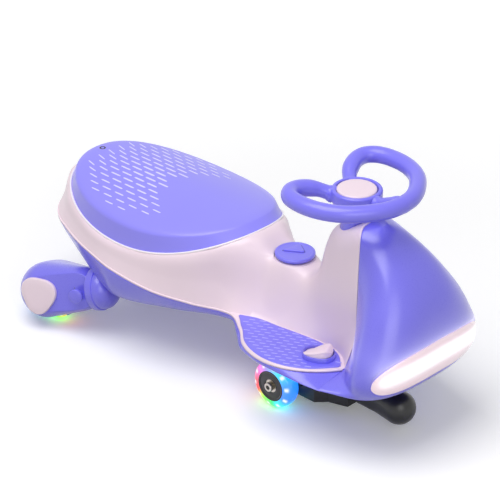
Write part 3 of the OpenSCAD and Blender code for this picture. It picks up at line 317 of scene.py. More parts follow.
class Nodes:
    """Short hand for laying out a node tree."""

    def __init__(self, tree: bpy.types.NodeTree) -> None:
        """Keeps the tree."""
        self.tree = tree

    def add(self, kind: str, **settings: object) -> bpy.types.Node:
        """Adds a node; settings that are input names set those sockets, others are attributes."""
        node = self.tree.nodes.new(kind)
        for key, value in settings.items():
            if key in node.inputs:
                node.inputs[key].default_value = value
            else:
                setattr(node, key, value)
        return node

    def link(self, out: bpy.types.NodeSocket, into: bpy.types.NodeSocket) -> None:
        """Joins two sockets."""
        self.tree.links.new(out, into)

    def seen(self) -> bpy.types.NodeSocket:
        """One for rays from the camera and for those that reflections and clear pieces show, else nought."""
        path = self.add("ShaderNodeLightPath")
        total = path.outputs["Is Camera Ray"]
        for ray in ("Is Glossy Ray", "Is Transmission Ray"):
            both = self.add("ShaderNodeMath", operation="MAXIMUM")
            self.link(total, both.inputs[0])
            self.link(path.outputs[ray], both.inputs[1])
            total = both.outputs[0]
        return total


def new_material(name: str) -> tuple[bpy.types.Material, Nodes, bpy.types.Node]:
    """A new material with its nodes and its shader."""
    m = bpy.data.materials.new(name)
    m.use_nodes = True
    return m, Nodes(m.node_tree), m.node_tree.nodes["Principled BSDF"]


def moulding_group() -> bpy.types.NodeTree:
    """Moulded plastic: colour drifts slowly, fine grain lifts the surface and varies its roughness.

    Returns:
        A group with inputs Colour, Shade, Roughness, Spread and Grain and outputs Colour, Roughness and Height.
    """
    tree = bpy.data.node_groups.new("moulding", "ShaderNodeTree")
    face = tree.interface
    for label, value in (("Colour", (0.5, 0.5, 0.5, 1)), ("Shade", (0.4, 0.4, 0.4, 1)), ("Roughness", 0.3),
                         ("Spread", 0.06), ("Grain", 900.0)):
        kind = "NodeSocketColor" if isinstance(value, tuple) else "NodeSocketFloat"
        face.new_socket(label, in_out="INPUT", socket_type=kind).default_value = value
    face.new_socket("Colour", in_out="OUTPUT", socket_type="NodeSocketColor")
    for label in ("Roughness", "Height"):
        face.new_socket(label, in_out="OUTPUT", socket_type="NodeSocketFloat")
    n = Nodes(tree)
    enter, leave = n.add("NodeGroupInput"), n.add("NodeGroupOutput")
    place = n.add("ShaderNodeTexCoord")
    drift = n.add("ShaderNodeTexNoise", Scale=7.0, Detail=2.0)
    fine = n.add("ShaderNodeTexNoise", Detail=3.0)
    n.link(place.outputs["Object"], drift.inputs["Vector"])
    n.link(place.outputs["Object"], fine.inputs["Vector"])
    n.link(enter.outputs["Grain"], fine.inputs["Scale"])
    mix = n.add("ShaderNodeMix", data_type="RGBA")
    n.link(drift.outputs["Fac"], mix.inputs[0])
    n.link(enter.outputs["Colour"], mix.inputs[6])
    n.link(enter.outputs["Shade"], mix.inputs[7])
    n.link(mix.outputs[2], leave.inputs["Colour"])
    centre = n.add("ShaderNodeMath", operation="SUBTRACT")
    centre.inputs[1].default_value = 0.5
    n.link(fine.outputs["Fac"], centre.inputs[0])
    vary = n.add("ShaderNodeMath", operation="MULTIPLY_ADD")
    n.link(centre.outputs[0], vary.inputs[0])
    n.link(enter.outputs["Spread"], vary.inputs[1])
    n.link(enter.outputs["Roughness"], vary.inputs[2])
    n.link(vary.outputs[0], leave.inputs["Roughness"])
    n.link(fine.outputs["Fac"], leave.inputs["Height"])
    return tree


MOULDING = moulding_group()


def srgb(r: float, g: float, b: float) -> Rgb:
    """Linear colour of a display colour given from 0 to 255."""
    c = np.array([r, g, b]) / 255
    lin = np.where(c <= 0.04045, c / 12.92, ((c + 0.055) / 1.055) ** 2.4)
    return tuple(float(x) for x in lin)


@dataclass(frozen=True)
class Plastic:
    """Moulded plastic or metal with fine grain."""

    name: str
    colour: Rgb
    shade: Rgb
    roughness: float = 0.3
    spread: float = 0.05
    grain: float = 900.0
    lift: float = 0.00002
    coat: float = 0.0
    coat_roughness: float = 0.15
    metallic: float = 0.0
    lit: bool = False

    def material(self) -> bpy.types.Material:
        """The finish as a material."""
        m, n, shader = new_material(self.name)
        group = n.add("ShaderNodeGroup", node_tree=MOULDING)
        for label, value in (("Colour", (*self.colour, 1)), ("Shade", (*self.shade, 1)),
                             ("Roughness", self.roughness), ("Spread", self.spread), ("Grain", self.grain)):
            group.inputs[label].default_value = value
        n.link(group.outputs["Colour"], shader.inputs["Base Color"])
        n.link(group.outputs["Roughness"], shader.inputs["Roughness"])
        bump = n.add("ShaderNodeBump", Distance=self.lift, Strength=1.0)
        n.link(group.outputs["Height"], bump.inputs["Height"])
        n.link(bump.outputs["Normal"], shader.inputs["Normal"])
        shader.inputs["Coat Weight"].default_value = self.coat
        shader.inputs["Coat Roughness"].default_value = self.coat_roughness
        shader.inputs["Metallic"].default_value = self.metallic
        if self.lit:
            light = n.add("ShaderNodeAttribute", attribute_name="light")
            n.link(light.outputs["Color"], shader.inputs["Emission Color"])
            shader.inputs["Emission Strength"].default_value = 1.0
        return m


def dress(piece: bpy.types.Object, finish: "Plastic | Glow") -> None:
    """Puts one finish, whose material is made once, on a whole piece."""
    piece.data.materials.clear()
    piece.data.materials.append(bpy.data.materials.get(finish.name) or finish.material())


@dataclass(frozen=True)
class Glow:
    """Plastic lit from inside; its light colour is kept per point in the attribute named light."""

    name: str
    strength: float
    roughness: float = 0.2
    coat: float = 0.6

    def material(self) -> bpy.types.Material:
        """The finish as a material."""
        m, n, shader = new_material(self.name)
        light = n.add("ShaderNodeAttribute", attribute_name="light")
        base = n.add("ShaderNodeAttribute", attribute_name="tint")
        n.link(light.outputs["Color"], shader.inputs["Emission Color"])
        n.link(base.outputs["Color"], shader.inputs["Base Color"])
        shader.inputs["Emission Strength"].default_value = self.strength
        shader.inputs["Roughness"].default_value = self.roughness
        shader.inputs["Coat Weight"].default_value = self.coat
        return m


def paint(piece: bpy.types.Object, name: str, rule: Callable[[Array], Array]) -> None:
    """Stores a colour per point in an attribute, worked out from the points in millimetres.

    Args:
        piece: Mesh piece.
        name: Attribute name.
        rule: Gives linear colours for an array of points from the steering axis.
    """
    mesh = piece.data
    co = np.empty(len(mesh.vertices) * 3, np.float32)
    mesh.vertices.foreach_get("co", co)
    colours = np.ones((len(mesh.vertices), 4), np.float32)
    colours[:, :3] = rule(co.reshape(-1, 3).astype(float) * MM_PER_M - [AXIS_X, 0, 0])
    layer = mesh.color_attributes.new(name, "FLOAT_COLOR", "POINT")
    layer.data.foreach_set("color", colours.ravel())


VIOLET = Plastic("violet_gloss", srgb(122, 116, 238), srgb(116, 110, 232), 0.28, coat=0.5)
VIOLET_LIT = Plastic("violet_by_lamp", srgb(122, 116, 238), srgb(116, 110, 232), 0.28, coat=0.6,
                     coat_roughness=0.28, lit=True)
LILAC = Plastic("lilac_gloss", srgb(126, 120, 243), srgb(121, 115, 238), 0.32, coat=0.3)
# Dark violet of the ring round the button's triangle: painted shade, standing in for the shadow along the raised
# plate's edge.
PAINTED_SHADE_VIOLET = Plastic("painted_shade_violet", srgb(88, 82, 196), srgb(82, 76, 188), 0.4)
SEAT = Plastic("seat_satin", srgb(148, 142, 252), srgb(143, 137, 249), 0.36, coat=0.2)
PINK = Plastic("pink_satin", srgb(241, 221, 231), srgb(236, 215, 226), 0.36, coat=0.2)
PEARL = Plastic("pearl_edge", srgb(252, 246, 250), srgb(249, 241, 246), 0.3, coat=0.2)
DASH = Plastic("pale_dash", srgb(222, 218, 253), srgb(214, 210, 250), 0.45)
MAT_DASH = Plastic("mat_dash", srgb(178, 176, 253), srgb(170, 167, 250), 0.45)
BLACK = Plastic("black_moulded", srgb(26, 26, 27), srgb(19, 19, 20), 0.4, grain=1400, lift=0.00004)
KNOB = Plastic("black_gloss", srgb(24, 24, 25), srgb(19, 19, 20), 0.34, coat=0.1, coat_roughness=0.3)
HUB_BLACK = Plastic("hub_black", srgb(14, 18, 17), srgb(10, 13, 12), 0.3, coat=0.3)
STEEL = Plastic("bright_steel", srgb(214, 208, 196), srgb(196, 190, 178), 0.3, metallic=1.0, grain=500)
NYLON = Plastic("nylon", srgb(226, 223, 212), srgb(218, 214, 203), 0.5)
CIRCUIT = Plastic("circuit_green", srgb(28, 96, 62), srgb(22, 82, 52), 0.5, grain=300)
CASE = Plastic("battery_case", srgb(70, 72, 78), srgb(62, 64, 70), 0.55)
MOTOR = Plastic("motor_case", srgb(120, 122, 126), srgb(104, 106, 110), 0.4, metallic=0.8)
LAMP = Glow("lit_lens", 1.0)
TYRE = Glow("lit_tyre", 1.3, 0.2, 0.4)


# Body.


@dataclass
class BodyForm:
    """Curves of the body, and the surfaces that they carry."""

    tail: float = -606.0
    tail_length: float = 66.0
    waist: float = -188.0
    joint: float = 58.0
    wall: float = 3.0
    seam: float = 0.3
    touch: float = 0.02
    wall_share: float = 0.78
    flare_height: float = 70.0
    flare_power: float = 2.6
    belly_share: float = 0.45
    belly_half: float = 0.86
    cheek: float = 130.0
    edge: Keys = ((-606, 110), (-559.8, 113), (-494.7, 133.6), (-448.5, 143.2), (-396, 150), (-312.8, 141.5),
                  (-246.2, 115.8), (-188, 89), (-140.4, 113.8), (-111, 139.4), (-81.6, 153.2), (-48, 158),
                  (-13, 151.5), (17.7, 135), (42.1, 113), (58, 92))
    edge_z: Keys = ((-606, 190), (-559.8, 180.1), (-480, 169.9), (-396, 160), (-300.3, 147), (-202, 135.6),
                    (-184, 135), (-48, 135), (58, 135))
    lip: Keys = ((-606, 82), (-559.8, 93), (-494.7, 114.8), (-448.5, 130), (-396, 141), (-292, 118), (-188, 84),
                 (-150.2, 109), (-115.2, 137), (-84.4, 146.5), (-48, 151), (24, 151.5), (58, 146), (93, 137),
                 (120, 122), (180, 118))
    lip_z: Keys = ((-606, 158), (-559.8, 136), (-501, 117), (-448.5, 104), (-396, 98), (-292, 109), (-188, 119),
                   (-48, 120), (180, 120))
    ridge: Keys = ((-606, 196), (-601, 222), (-594, 237), (-588, 236.5), (-570, 233), (-540, 225.5), (-501, 216),
                   (-454, 207), (-396, 204), (-338, 210), (-290, 221), (-249, 234), (-219, 243.5), (-200, 250),
                   (-190, 251.5), (-175, 246), (-150, 234), (-127, 227), (-100, 222), (-80, 221.5), (-66, 228.5),
                   (-55, 244), (-43.5, 272.8), (-37.5, 298.4), (-33.5, 312.8), (-28, 324), (0, 335), (30, 348.8),
                   (42, 350), (58, 350))
    top: Keys = ((-606, 84), (-588, 84), (-570, 88), (-540, 104), (-501, 121), (-454, 134), (-396, 138), (-338, 134),
                 (-290, 124), (-249, 106), (-219, 84), (-200, 72), (-175, 58), (-150, 48), (-127, 44), (-90, 42),
                 (-40, 43), (0, 50), (45, 60), (58, 62))
    power: Keys = ((-606, 5), (-570, 6), (-480, 7), (-219, 7), (-200, 4.5), (-175, 3.2), (-127, 2.6), (-80, 3),
                   (58, 4))
    foot: Keys = ((-188, 86), (-170, 77), (-138, 66.5), (-98, 61.5), (-59, 56), (-24, 53), (5, 55), (26, 60.5),
                  (40, 69), (58, 86))
    joint_line: Keys = ((120, 58), (199.5, 58), (240.4, 58), (270.5, 57.04), (300.6, 54.4), (319.9, 51.04),
                        (336, 45.04), (345.1, 39.04), (350, 34))
    nose_tip: Keys = ((120, 158), (135, 170), (150, 175.5), (175, 180), (200, 177.5), (240, 166), (270, 151),
                      (300, 128), (325, 97.5), (340, 75), (350, 58))
    nose_w: Keys = ((120, 130), (135, 135), (150, 137), (175, 131), (200, 119.5), (240, 99), (270, 80), (300, 61),
                    (325, 42), (340, 28), (350, 12))
    boss_hole: Hole = Hole((-127.0, 0.0), (33.1, 33.1), low=200.0)
    boss_top: float = 225.5
    boss_round: float = 32.8
    boss_reach: float = 26.0
    boss_play: float = 3.0
    column_hole: Hole = Hole((0.0, 0.0), (25.0, 25.0), low=300.0)

    def tail_round(self, u: Array) -> Array:
        """Narrowing of every width towards the tail."""
        return taper(u, self.tail + self.tail_length, self.tail, 2.2)

    def edge_at(self, u: Array) -> tuple[Array, Array]:
        """Half width and height of the seam between shell and pan."""
        return keyed(self.edge, u) * self.tail_round(u), keyed(self.edge_z, u)

    def foot_at(self, u: Array) -> Array:
        """Half width of the upper wall's foot: the seam behind the waist, the tower's foot ahead of it."""
        y, _ = self.edge_at(u)
        return np.where(u < self.waist, y - 2 * self.tail_round(u), keyed(self.foot, u))

    def lip_at(self, u: Array) -> tuple[Array, Array]:
        """Half width and height of the pan's lower lip."""
        return keyed(self.lip, u) * self.tail_round(u) * taper(u, 100, 152, 2.4), keyed(self.lip_z, u)

    def flare(self, up: Array, rise: Array) -> Array:
        """Share of the flare at a height over the seam: one at the seam, nought at the flare's height."""
        return np.clip(1 - up / np.minimum(self.flare_height, rise), 0, 1) ** self.flare_power

    def shell(self, u: Array, v: Array) -> Array:
        """Upper shell at u, with v from -1 at the right edge over the ridge to 1.

        The wall is a superellipse from ridge to seam whose lower part flares out to its foot; the last share of v
        is the flat flange from the foot to the seam. Round the button the saddle comes level with its boss by the
        square of the nearness to it.
        """
        a = np.minimum(1, np.abs(v) / self.wall_share) * np.pi / 2
        n, zr = keyed(self.power, u), keyed(self.ridge, u)
        ye, zb = self.edge_at(u)
        yt = keyed(self.top, u) * self.tail_round(u)
        z = zb + (zr - zb) * np.clip(np.cos(a), 0, 1) ** (2 / n)
        y = yt * np.sin(a) ** (2 / n) + (self.foot_at(u) - yt) * self.flare(z - zb, zr - zb)
        out = np.clip((np.abs(v) - self.wall_share) / (1 - self.wall_share), 0, 1)
        away = np.maximum(0, np.hypot(u - self.boss_hole.centre[0], y) - self.boss_round)
        near = np.clip(1 - away / self.boss_reach, 0, 1) ** 2
        z = z + (np.maximum(0, self.boss_top - z) - np.maximum(0, z - self.boss_top - self.boss_play)) * near
        return np.stack([u + 0 * v, np.sign(v) * (y + (ye - y) * out), z + 0 * v], -1)

    def shell_half(self, u: Array, z: Array) -> Array:
        """Half width of the upper shell's wall at a height, from the same superellipse and flare."""
        n, zb = keyed(self.power, u), keyed(self.edge_z, u)
        rise = keyed(self.ridge, u) - zb
        up = np.clip((z - zb) / rise, 0, 1) ** (n / 2)
        yt = keyed(self.top, u) * self.tail_round(u)
        return yt * np.sqrt(1 - up**2) ** (2 / n) + (self.foot_at(u) - yt) * self.flare(z - zb, rise)

    def pan(self, u: Array, w: Array) -> Array:
        """Pan at u, with w from -1 at the right seam under the belly to 1.

        The belly is flat; each side is a quadratic arc from the belly's edge, drawn out past the lip, to the seam.
        Under the cowl the pan is a floor set in from the cowl's foot.
        """
        ye, ze = self.edge_at(u)
        yl, zl = self.lip_at(u)
        under = u >= self.joint
        inset = np.where(under, 8 + 14 * np.clip(1 - (u - self.joint) / 50, 0, 1), 0)
        y = yl - inset
        ye, ze = np.where(under, 0.93 * yl - inset, ye), np.where(under, 119.5, ze - self.wall - self.seam)
        yc, zc = np.where(under, 0.9 * y, 1.494 * y - 0.409 * ye), np.where(under, zl - 1.5, zl - 1)
        t = np.clip((np.abs(w) - self.belly_share) / (1 - self.belly_share), 0, 1)
        flat = y * self.belly_half
        side = t**2 * ye + 2 * t * (1 - t) * yc + (1 - t) ** 2 * flat
        z = t**2 * ze + 2 * t * (1 - t) * zc + (1 - t) ** 2 * (zl - 1.5)
        return np.stack([u + 0 * w, np.sign(w) * np.where(t > 0, side, flat * np.abs(w) / self.belly_share), z], -1)

    def joint_half(self, z: Array) -> Array:
        """Half width of the joint between shell and cowl: the tower's wall, and below it the pan's side."""
        wall_foot = 142.0
        share = self.belly_share + (1 - self.belly_share) * np.array([0.35, 0.5, 0.75, 1.0])
        low = [(float(z_), float(y_)) for _, y_, z_ in self.pan(np.full(4, self.joint - self.seam), share)]
        low.append((wall_foot, float(self.shell_half(np.array(self.joint), np.array(wall_foot)))))
        return np.where(z < wall_foot, keyed(low, z), self.shell_half(keyed(self.joint_line, z), z))

    def cowl(self, z: Array, s: Array) -> Array:
        """Cowl at height z, with s from -1 at the right joint round the tip to 1.

        Each level swells from the joint's width to the cheek's, and closes on its tip as a superellipse.
        """
        tip, start = keyed(self.nose_tip, z), keyed(self.joint_line, z)
        u = start + (tip - start) * np.cos(np.abs(s) * np.pi / 2)
        t = np.clip((u - start) / (np.minimum(self.cheek, tip) - start), 0, 1)
        half = self.joint_half(z)
        w = half + (keyed(self.nose_w, z) - half) * np.sin(t * np.pi / 2)
        full = start + (tip - start) * 0.25
        return np.stack([u, np.sign(s) * w * taper(u, full, tip, 2.8), z + 0 * s], -1)

    def cowl_out(self, z: Array, s: Array, d: Array) -> Array:
        """Cowl point moved out along the surface normal by d."""
        up, along = 0.3, 1e-3
        dz = self.cowl(z + up, s) - self.cowl(z - up, s)
        ds = self.cowl(z, np.clip(s + along, -1, 1)) - self.cowl(z, np.clip(s - along, -1, 1))
        return self.cowl(z, s) + np.asarray(d)[..., None] * unit(np.cross(ds, dz))

    def stations(self) -> Array:
        """Places along the car: close together at the tail, round the button and at the joint."""
        fan, end = self.tail_length * (1 - np.cos(np.linspace(0, np.pi / 2, 26))), self.joint - self.seam
        return np.concatenate((self.tail + fan, np.linspace(self.tail + self.tail_length, -168, 120)[1:],
                               np.linspace(-168, 30, 133)[1:], np.linspace(30, end - 5, 12)[1:],
                               end - np.array([4, 3, 2.2, 1.5, 0.9, 0.4, 0])))

    def build(self) -> None:
        """Makes the shell and pan and dresses them."""
        u, fixed, last = self.stations(), -20, self.joint - self.seam
        half = np.concatenate((np.linspace(0, self.wall_share, 64), np.linspace(self.wall_share, 1, 12)[1:]))
        v = np.concatenate((-half[:0:-1], half))
        end = np.full(len(v), last)
        for _ in range(8):
            z = self.shell(end, v)[:, 2]
            end = keyed(self.joint_line, z) - self.touch - self.seam * smooth(z, 140, 200)
        uu, vv = np.meshgrid(u, v, indexing="ij")
        uu = np.where(uu > fixed, fixed + (uu - fixed) * (end - fixed) / (last - fixed), uu)
        skin = Patch(self.shell(uu, vv))
        roll = edge_roll(end - uu, 4, 0.8) * smooth(skin.points[..., 2], 150, 190)
        skin.points = skin.points - skin.normals() * roll[..., None]
        skin.punch(self.boss_hole)
        skin.punch(self.column_hole)
        make_piece("upper_shell_skin", [skin], "body", PINK, ["upper_shell"], self.wall, sharp=55,
                   outward=False)
        u = np.concatenate((u[:-1], [self.joint - self.touch, self.joint + 0.01], np.linspace(62, 100, 10),
                            100 + 52 * np.sin(np.linspace(0.05, np.pi / 2, 20))))
        half = np.concatenate((np.linspace(0, self.belly_share, 8), np.linspace(self.belly_share, 1, 34)[1:]))
        uu, ww = np.meshgrid(u, np.concatenate((-half[:0:-1], half)), indexing="ij")
        make_piece("lower_pan_skin", [Patch(self.pan(uu, ww), flip=True)], "body", VIOLET,
                   ["lower_pan"], self.wall, sharp=50, outward=False)


@dataclass
class Headlight:
    """Wide lens let into the cowl, and the cowl round it."""

    half_length: float = 122.0
    height: float = 66.0
    level: float = 167.0
    droop: float = 14.0
    power: int = 6
    steps: int = 110

    def place(self, p: Array) -> tuple[Array, Array, Array]:
        """Share along the lens, share up it, and distance out from its edge in millimetres.

        The lens is a superellipse of powers 6 along and 2 up it, about a middle line that droops to its ends; the
        distance is the outline's implicit function over the length of its slope.
        """
        a = np.abs(p[..., 1]) / self.half_length
        b = (p[..., 2] - self.level + self.droop * np.minimum(a, 1) ** 2) / (self.height / 2)
        slope = np.hypot(2 * b / (self.height / 2), self.power * a ** (self.power - 1) / self.half_length) + 1e-3
        return a, b, (a**self.power + b**2 - 1) / slope

    def grid(self, form: BodyForm, rows: int, depth: float, lift: float) -> Array:
        """Points of the lens on the cowl: rows from its lower edge to its upper one, its middle lifted by lift."""
        a = np.sin(np.linspace(-1, 1, 2 * self.steps + 1) * np.radians(86))
        middle = self.level - self.droop * a**2
        low, high = np.zeros_like(a), np.full_like(a, 0.62)
        for _ in range(40):
            s = (low + high) / 2
            short = form.cowl(middle, s)[:, 1] < np.abs(a) * self.half_length
            low, high = np.where(short, s, low), np.where(short, high, s)
        f = np.sin(np.linspace(-1, 1, rows) * np.pi / 2)[:, None]
        z = middle + f * (self.height / 2 - 0.4) * np.sqrt(1 - a**self.power)
        dome = np.sqrt(np.clip((1 - np.abs(f) ** 12) * (1 - np.abs(a / a[-1]) ** 30), 0, 1))
        return form.cowl_out(z, np.broadcast_to(np.sign(a) * s, z.shape), depth + lift * dome)

    def shine(self, p: Array) -> Array:
        """Light of the lens: a white band along its upper middle that falls to pale pink at the edge."""
        _, b, d = self.place(p)
        band = np.exp(-((b - 0.22) / 0.42) ** 2) * smooth(-d, 0, 24)
        return 0.22 * np.array([1.0, 0.82, 0.88]) + band[:, None] * np.array([0.8, 0.85, 0.85])

    def spill(self, p: Array) -> Array:
        """Light that the lens throws on the cowl just outside its edge, mostly above it."""
        a, b, d = self.place(p)
        near = np.exp(-np.maximum(d, 0) / 8) * smooth(b, -0.3, 0.9) * smooth(a, 1.08, 0.9)
        return 0.42 * near[:, None] * np.array([0.95, 0.92, 1.0])

    def build(self, form: BodyForm) -> None:
        """Makes the cowl, closed over its top, and the lens in a shallow bed."""
        z = np.concatenate((np.linspace(120.5, 210, 64), np.linspace(210, 330, 56)[1:],
                            np.linspace(330, 349.7, 30)[1:]))
        half = np.concatenate((np.linspace(0, 0.96, 100),
                               1 - np.array([0.032, 0.025, 0.018, 0.012, 0.007, 0.003, 0])))
        s = np.concatenate((half[::-1], -half[1:]))
        zz, ss = np.meshgrid(z, s, indexing="ij")
        points = form.cowl(zz, ss)
        d = self.place(points)[2]
        bed = np.where(points[..., 0] > 100, 3.2 * smooth(-d, -1.2, 1.6), 0)
        roll = edge_roll(points[..., 0] - keyed(form.joint_line, zz), 6, 1.4) * smooth(zz, 150, 190)
        points = form.cowl_out(zz, ss, -bed - roll)
        lid = points[-1:] * [1, 0, 0] + [0, 0, 349.9]
        cowl = make_piece("front_cowl_skin", [Patch(np.concatenate((points, lid)))], "body",
                          VIOLET_LIT, ["front_cowl"], form.wall, sharp=50, outward=False)
        paint(cowl, "light", self.spill)
        top, low = self.grid(form, 41, -1.6, 1.9), self.grid(form, 41, -2.9, 0)
        lens = make_piece("headlight_lens_skin", pad_grid(top, low), "body", LAMP, ["headlight_lens"])
        paint(lens, "light", self.shine)
        paint(lens, "tint", lambda p: np.broadcast_to(srgb(240, 214, 224), (len(p), 3)))


@dataclass
class Seat:
    """Crowned seat with rows of raised pale dashes on its rear half, and the bead round its foot."""

    front: float = 194.0
    rear: float = 594.0
    half_width: float = 129.0
    foot_z: float = 198.0
    rim_z: float = 238.0
    top_z: float = 264.0
    mid: float = -397.0
    arch: float = 54.0
    roll: float = 0.1
    wall: float = 3.0
    roll_from: float = 0.8
    roll_to: float = 1.2
    socket: tuple[float, float] = (-566.0, 259.5)
    socket_r: float = 2.72
    dash_pitch: tuple[float, float] = (29.0, 11.6)

    @property
    def crown(self) -> float:
        """Place of the crown along the car."""
        return self.mid - 8

    def plan(self, front: float, rear: float, half: float, t: Array) -> Array:
        """Rounded plan: superellipse halves of different length before and behind the middle."""
        c, s = np.cos(t), np.sin(t)
        x = np.abs(c) ** 0.92
        return np.stack([np.where(c > 0, self.mid + (-front - self.mid) * x, self.mid + (-rear - self.mid) * x),
                         half * np.sign(s) * np.abs(s) ** 0.92], -1)

    def foot(self, t: Array) -> Array:
        """Foot curve, which rises towards both ends."""
        p, c = self.plan(self.front, self.rear, self.half_width, t), np.cos(t)
        z = self.foot_z + np.where(c > 0, self.arch, self.arch - 14) * np.abs(c) ** 1.8
        return np.concatenate((p, z[..., None]), -1)

    def rim(self, t: Array) -> Array:
        """Rim curve at the top of the side wall."""
        p, c = self.plan(self.front + 17, self.rear - 12, self.half_width - 3, t), np.cos(t)
        return np.concatenate((p, (self.rim_z + (self.top_z - self.rim_z) * c**2)[..., None]), -1)

    def dome(self, t: Array, k: Array) -> Array:
        """Top surface from the rim, k nought, to the crown, k one: a parabola in height."""
        r = self.rim(t)
        x = r[..., 0] + (self.crown - r[..., 0]) * k
        z = r[..., 2] + (self.top_z - r[..., 2]) * (1 - (1 - k) ** 2)
        return np.stack([x, r[..., 1] * (1 - k), z], -1)

    def surface(self, t: Array, k: Array) -> Array:
        """Side wall up to where the roll starts, a quadratic roll, then the dome to k of 2; below nought a skirt."""
        f, r, kk = self.foot(t), self.rim(t), k[..., None]
        low, high = self.roll_from, self.roll_to
        wall = f + (r - f) * np.clip(kk, 0, low) + np.minimum(kk, 0) * np.array([0, 0, 9.0])
        q = np.clip((kk - low) / (high - low), 0, 1)
        start, end = f + (r - f) * low, self.dome(t, np.full_like(k, self.roll))
        bend = (1 - q) ** 2 * start + 2 * q * (1 - q) * r + q**2 * end
        top = self.dome(t, self.roll + (1 - self.roll) * np.clip((k - high) / (2 - high), 0, 1))
        return np.where(kk < low, wall, np.where(kk < high, bend, top))

    def height(self, x: Array, y: Array) -> Array:
        """Height of the dome over a place, from the angle and share of the way to the rim."""
        t = np.linspace(-np.pi, np.pi, 1441)
        ahead, side = self.rim(t)[:, 0] - self.crown, self.rim(t)[:, 1]
        angle, reach = np.arctan2(side, ahead), np.hypot(side, ahead)
        order = np.argsort(angle)
        th = np.arctan2(y, x - self.crown)
        share = np.hypot(y, x - self.crown) / np.interp(th, angle[order], reach[order])
        tt = np.interp(th, angle[order], t[order])
        return self.dome(tt, 1 - np.clip(share, 0, 1))[..., 2]

    def build(self) -> None:
        """Makes the seat, its bead, the dark bottom of the socket at its back and its dashes."""
        t = np.linspace(-np.pi, np.pi, 192, endpoint=False)
        k = np.concatenate((np.linspace(-0.6, self.roll_from, 12),
                            np.linspace(self.roll_from, self.roll_to, 15)[1:], np.linspace(self.roll_to, 2, 40)[1:]))
        tt, kk = np.meshgrid(t, k, indexing="ij")
        make_piece("seat_cover_skin", [Patch(self.surface(tt, kk), wrap_rows=True)], "body", SEAT,
                   ["seat_cover"], self.wall, outward=False)
        t = np.linspace(-np.pi, np.pi, 240, endpoint=False)
        line = self.foot(t)
        out = unit(np.stack([line[:, 0] - self.mid, line[:, 1] * 2.2, 0 * t], -1))
        bead = tube(line + out * 1.6 + [0, 0, 0.3], np.full(len(t), 1.7), 10, True)
        make_piece("seat_bead", [bead], "body", PEARL)
        (x, z), r = self.socket, self.socket_r
        well = revolve([(0, z - 0.25), (r, z - 0.25), (r, z - 4)], (x, 0, 0), UP, 32)
        make_piece("socket_well", [well], "body", HUB_BLACK, outward=False)
        self.dashes()

    def dashes(self) -> None:
        """Staggered rows of raised dashes on the rear half, clear of a plain seat whose rear edge is arched.

        Dashes are widest in the middle of the pattern and turn a little towards the tail.
        """
        j, i = np.meshgrid(np.arange(-9, 10), np.arange(-12, 13), indexing="ij")
        x, y = self.mid - 60 + self.dash_pitch[0] * (i + 0.5 * (j % 2)), self.dash_pitch[1] * j
        inside = np.hypot((x + 420) / 146, y / 106) < 1
        behind = x < -400 + 62 * (np.abs(y) / 92) ** 1.7
        keep = inside & behind & (np.hypot(x - self.socket[0], y) > 20)
        x, y = x[keep], y[keep]
        far = np.hypot((x + 440) / 130, y / 105)
        turn = -0.3 * smooth(x, -490, -565)
        x, y, length, width, turn = (each[:, None, None] for each in (
            x, y, 25 - 6 * far**2, 4.8 - 2.5 * np.clip(far, 0, 1), turn))
        aa, bb = np.meshgrid(np.linspace(-1, 1, 9), np.linspace(-1, 1, 5), indexing="ij")
        along = aa * length / 2
        px = x + along
        py = y + along * turn + bb * width / 2 * np.sqrt(np.clip(1 - aa**6, 0.02, 1))
        lift = 0.7 * (1 - np.abs(bb) ** 4) * (1 - np.abs(aa) ** 8) - 0.15
        top = np.stack([px, py, self.height(px, py) + lift], -1)
        make_piece("seat_dashes", [Patch(g) for g in top], "body", DASH, weld=False)


# Platforms and controls.


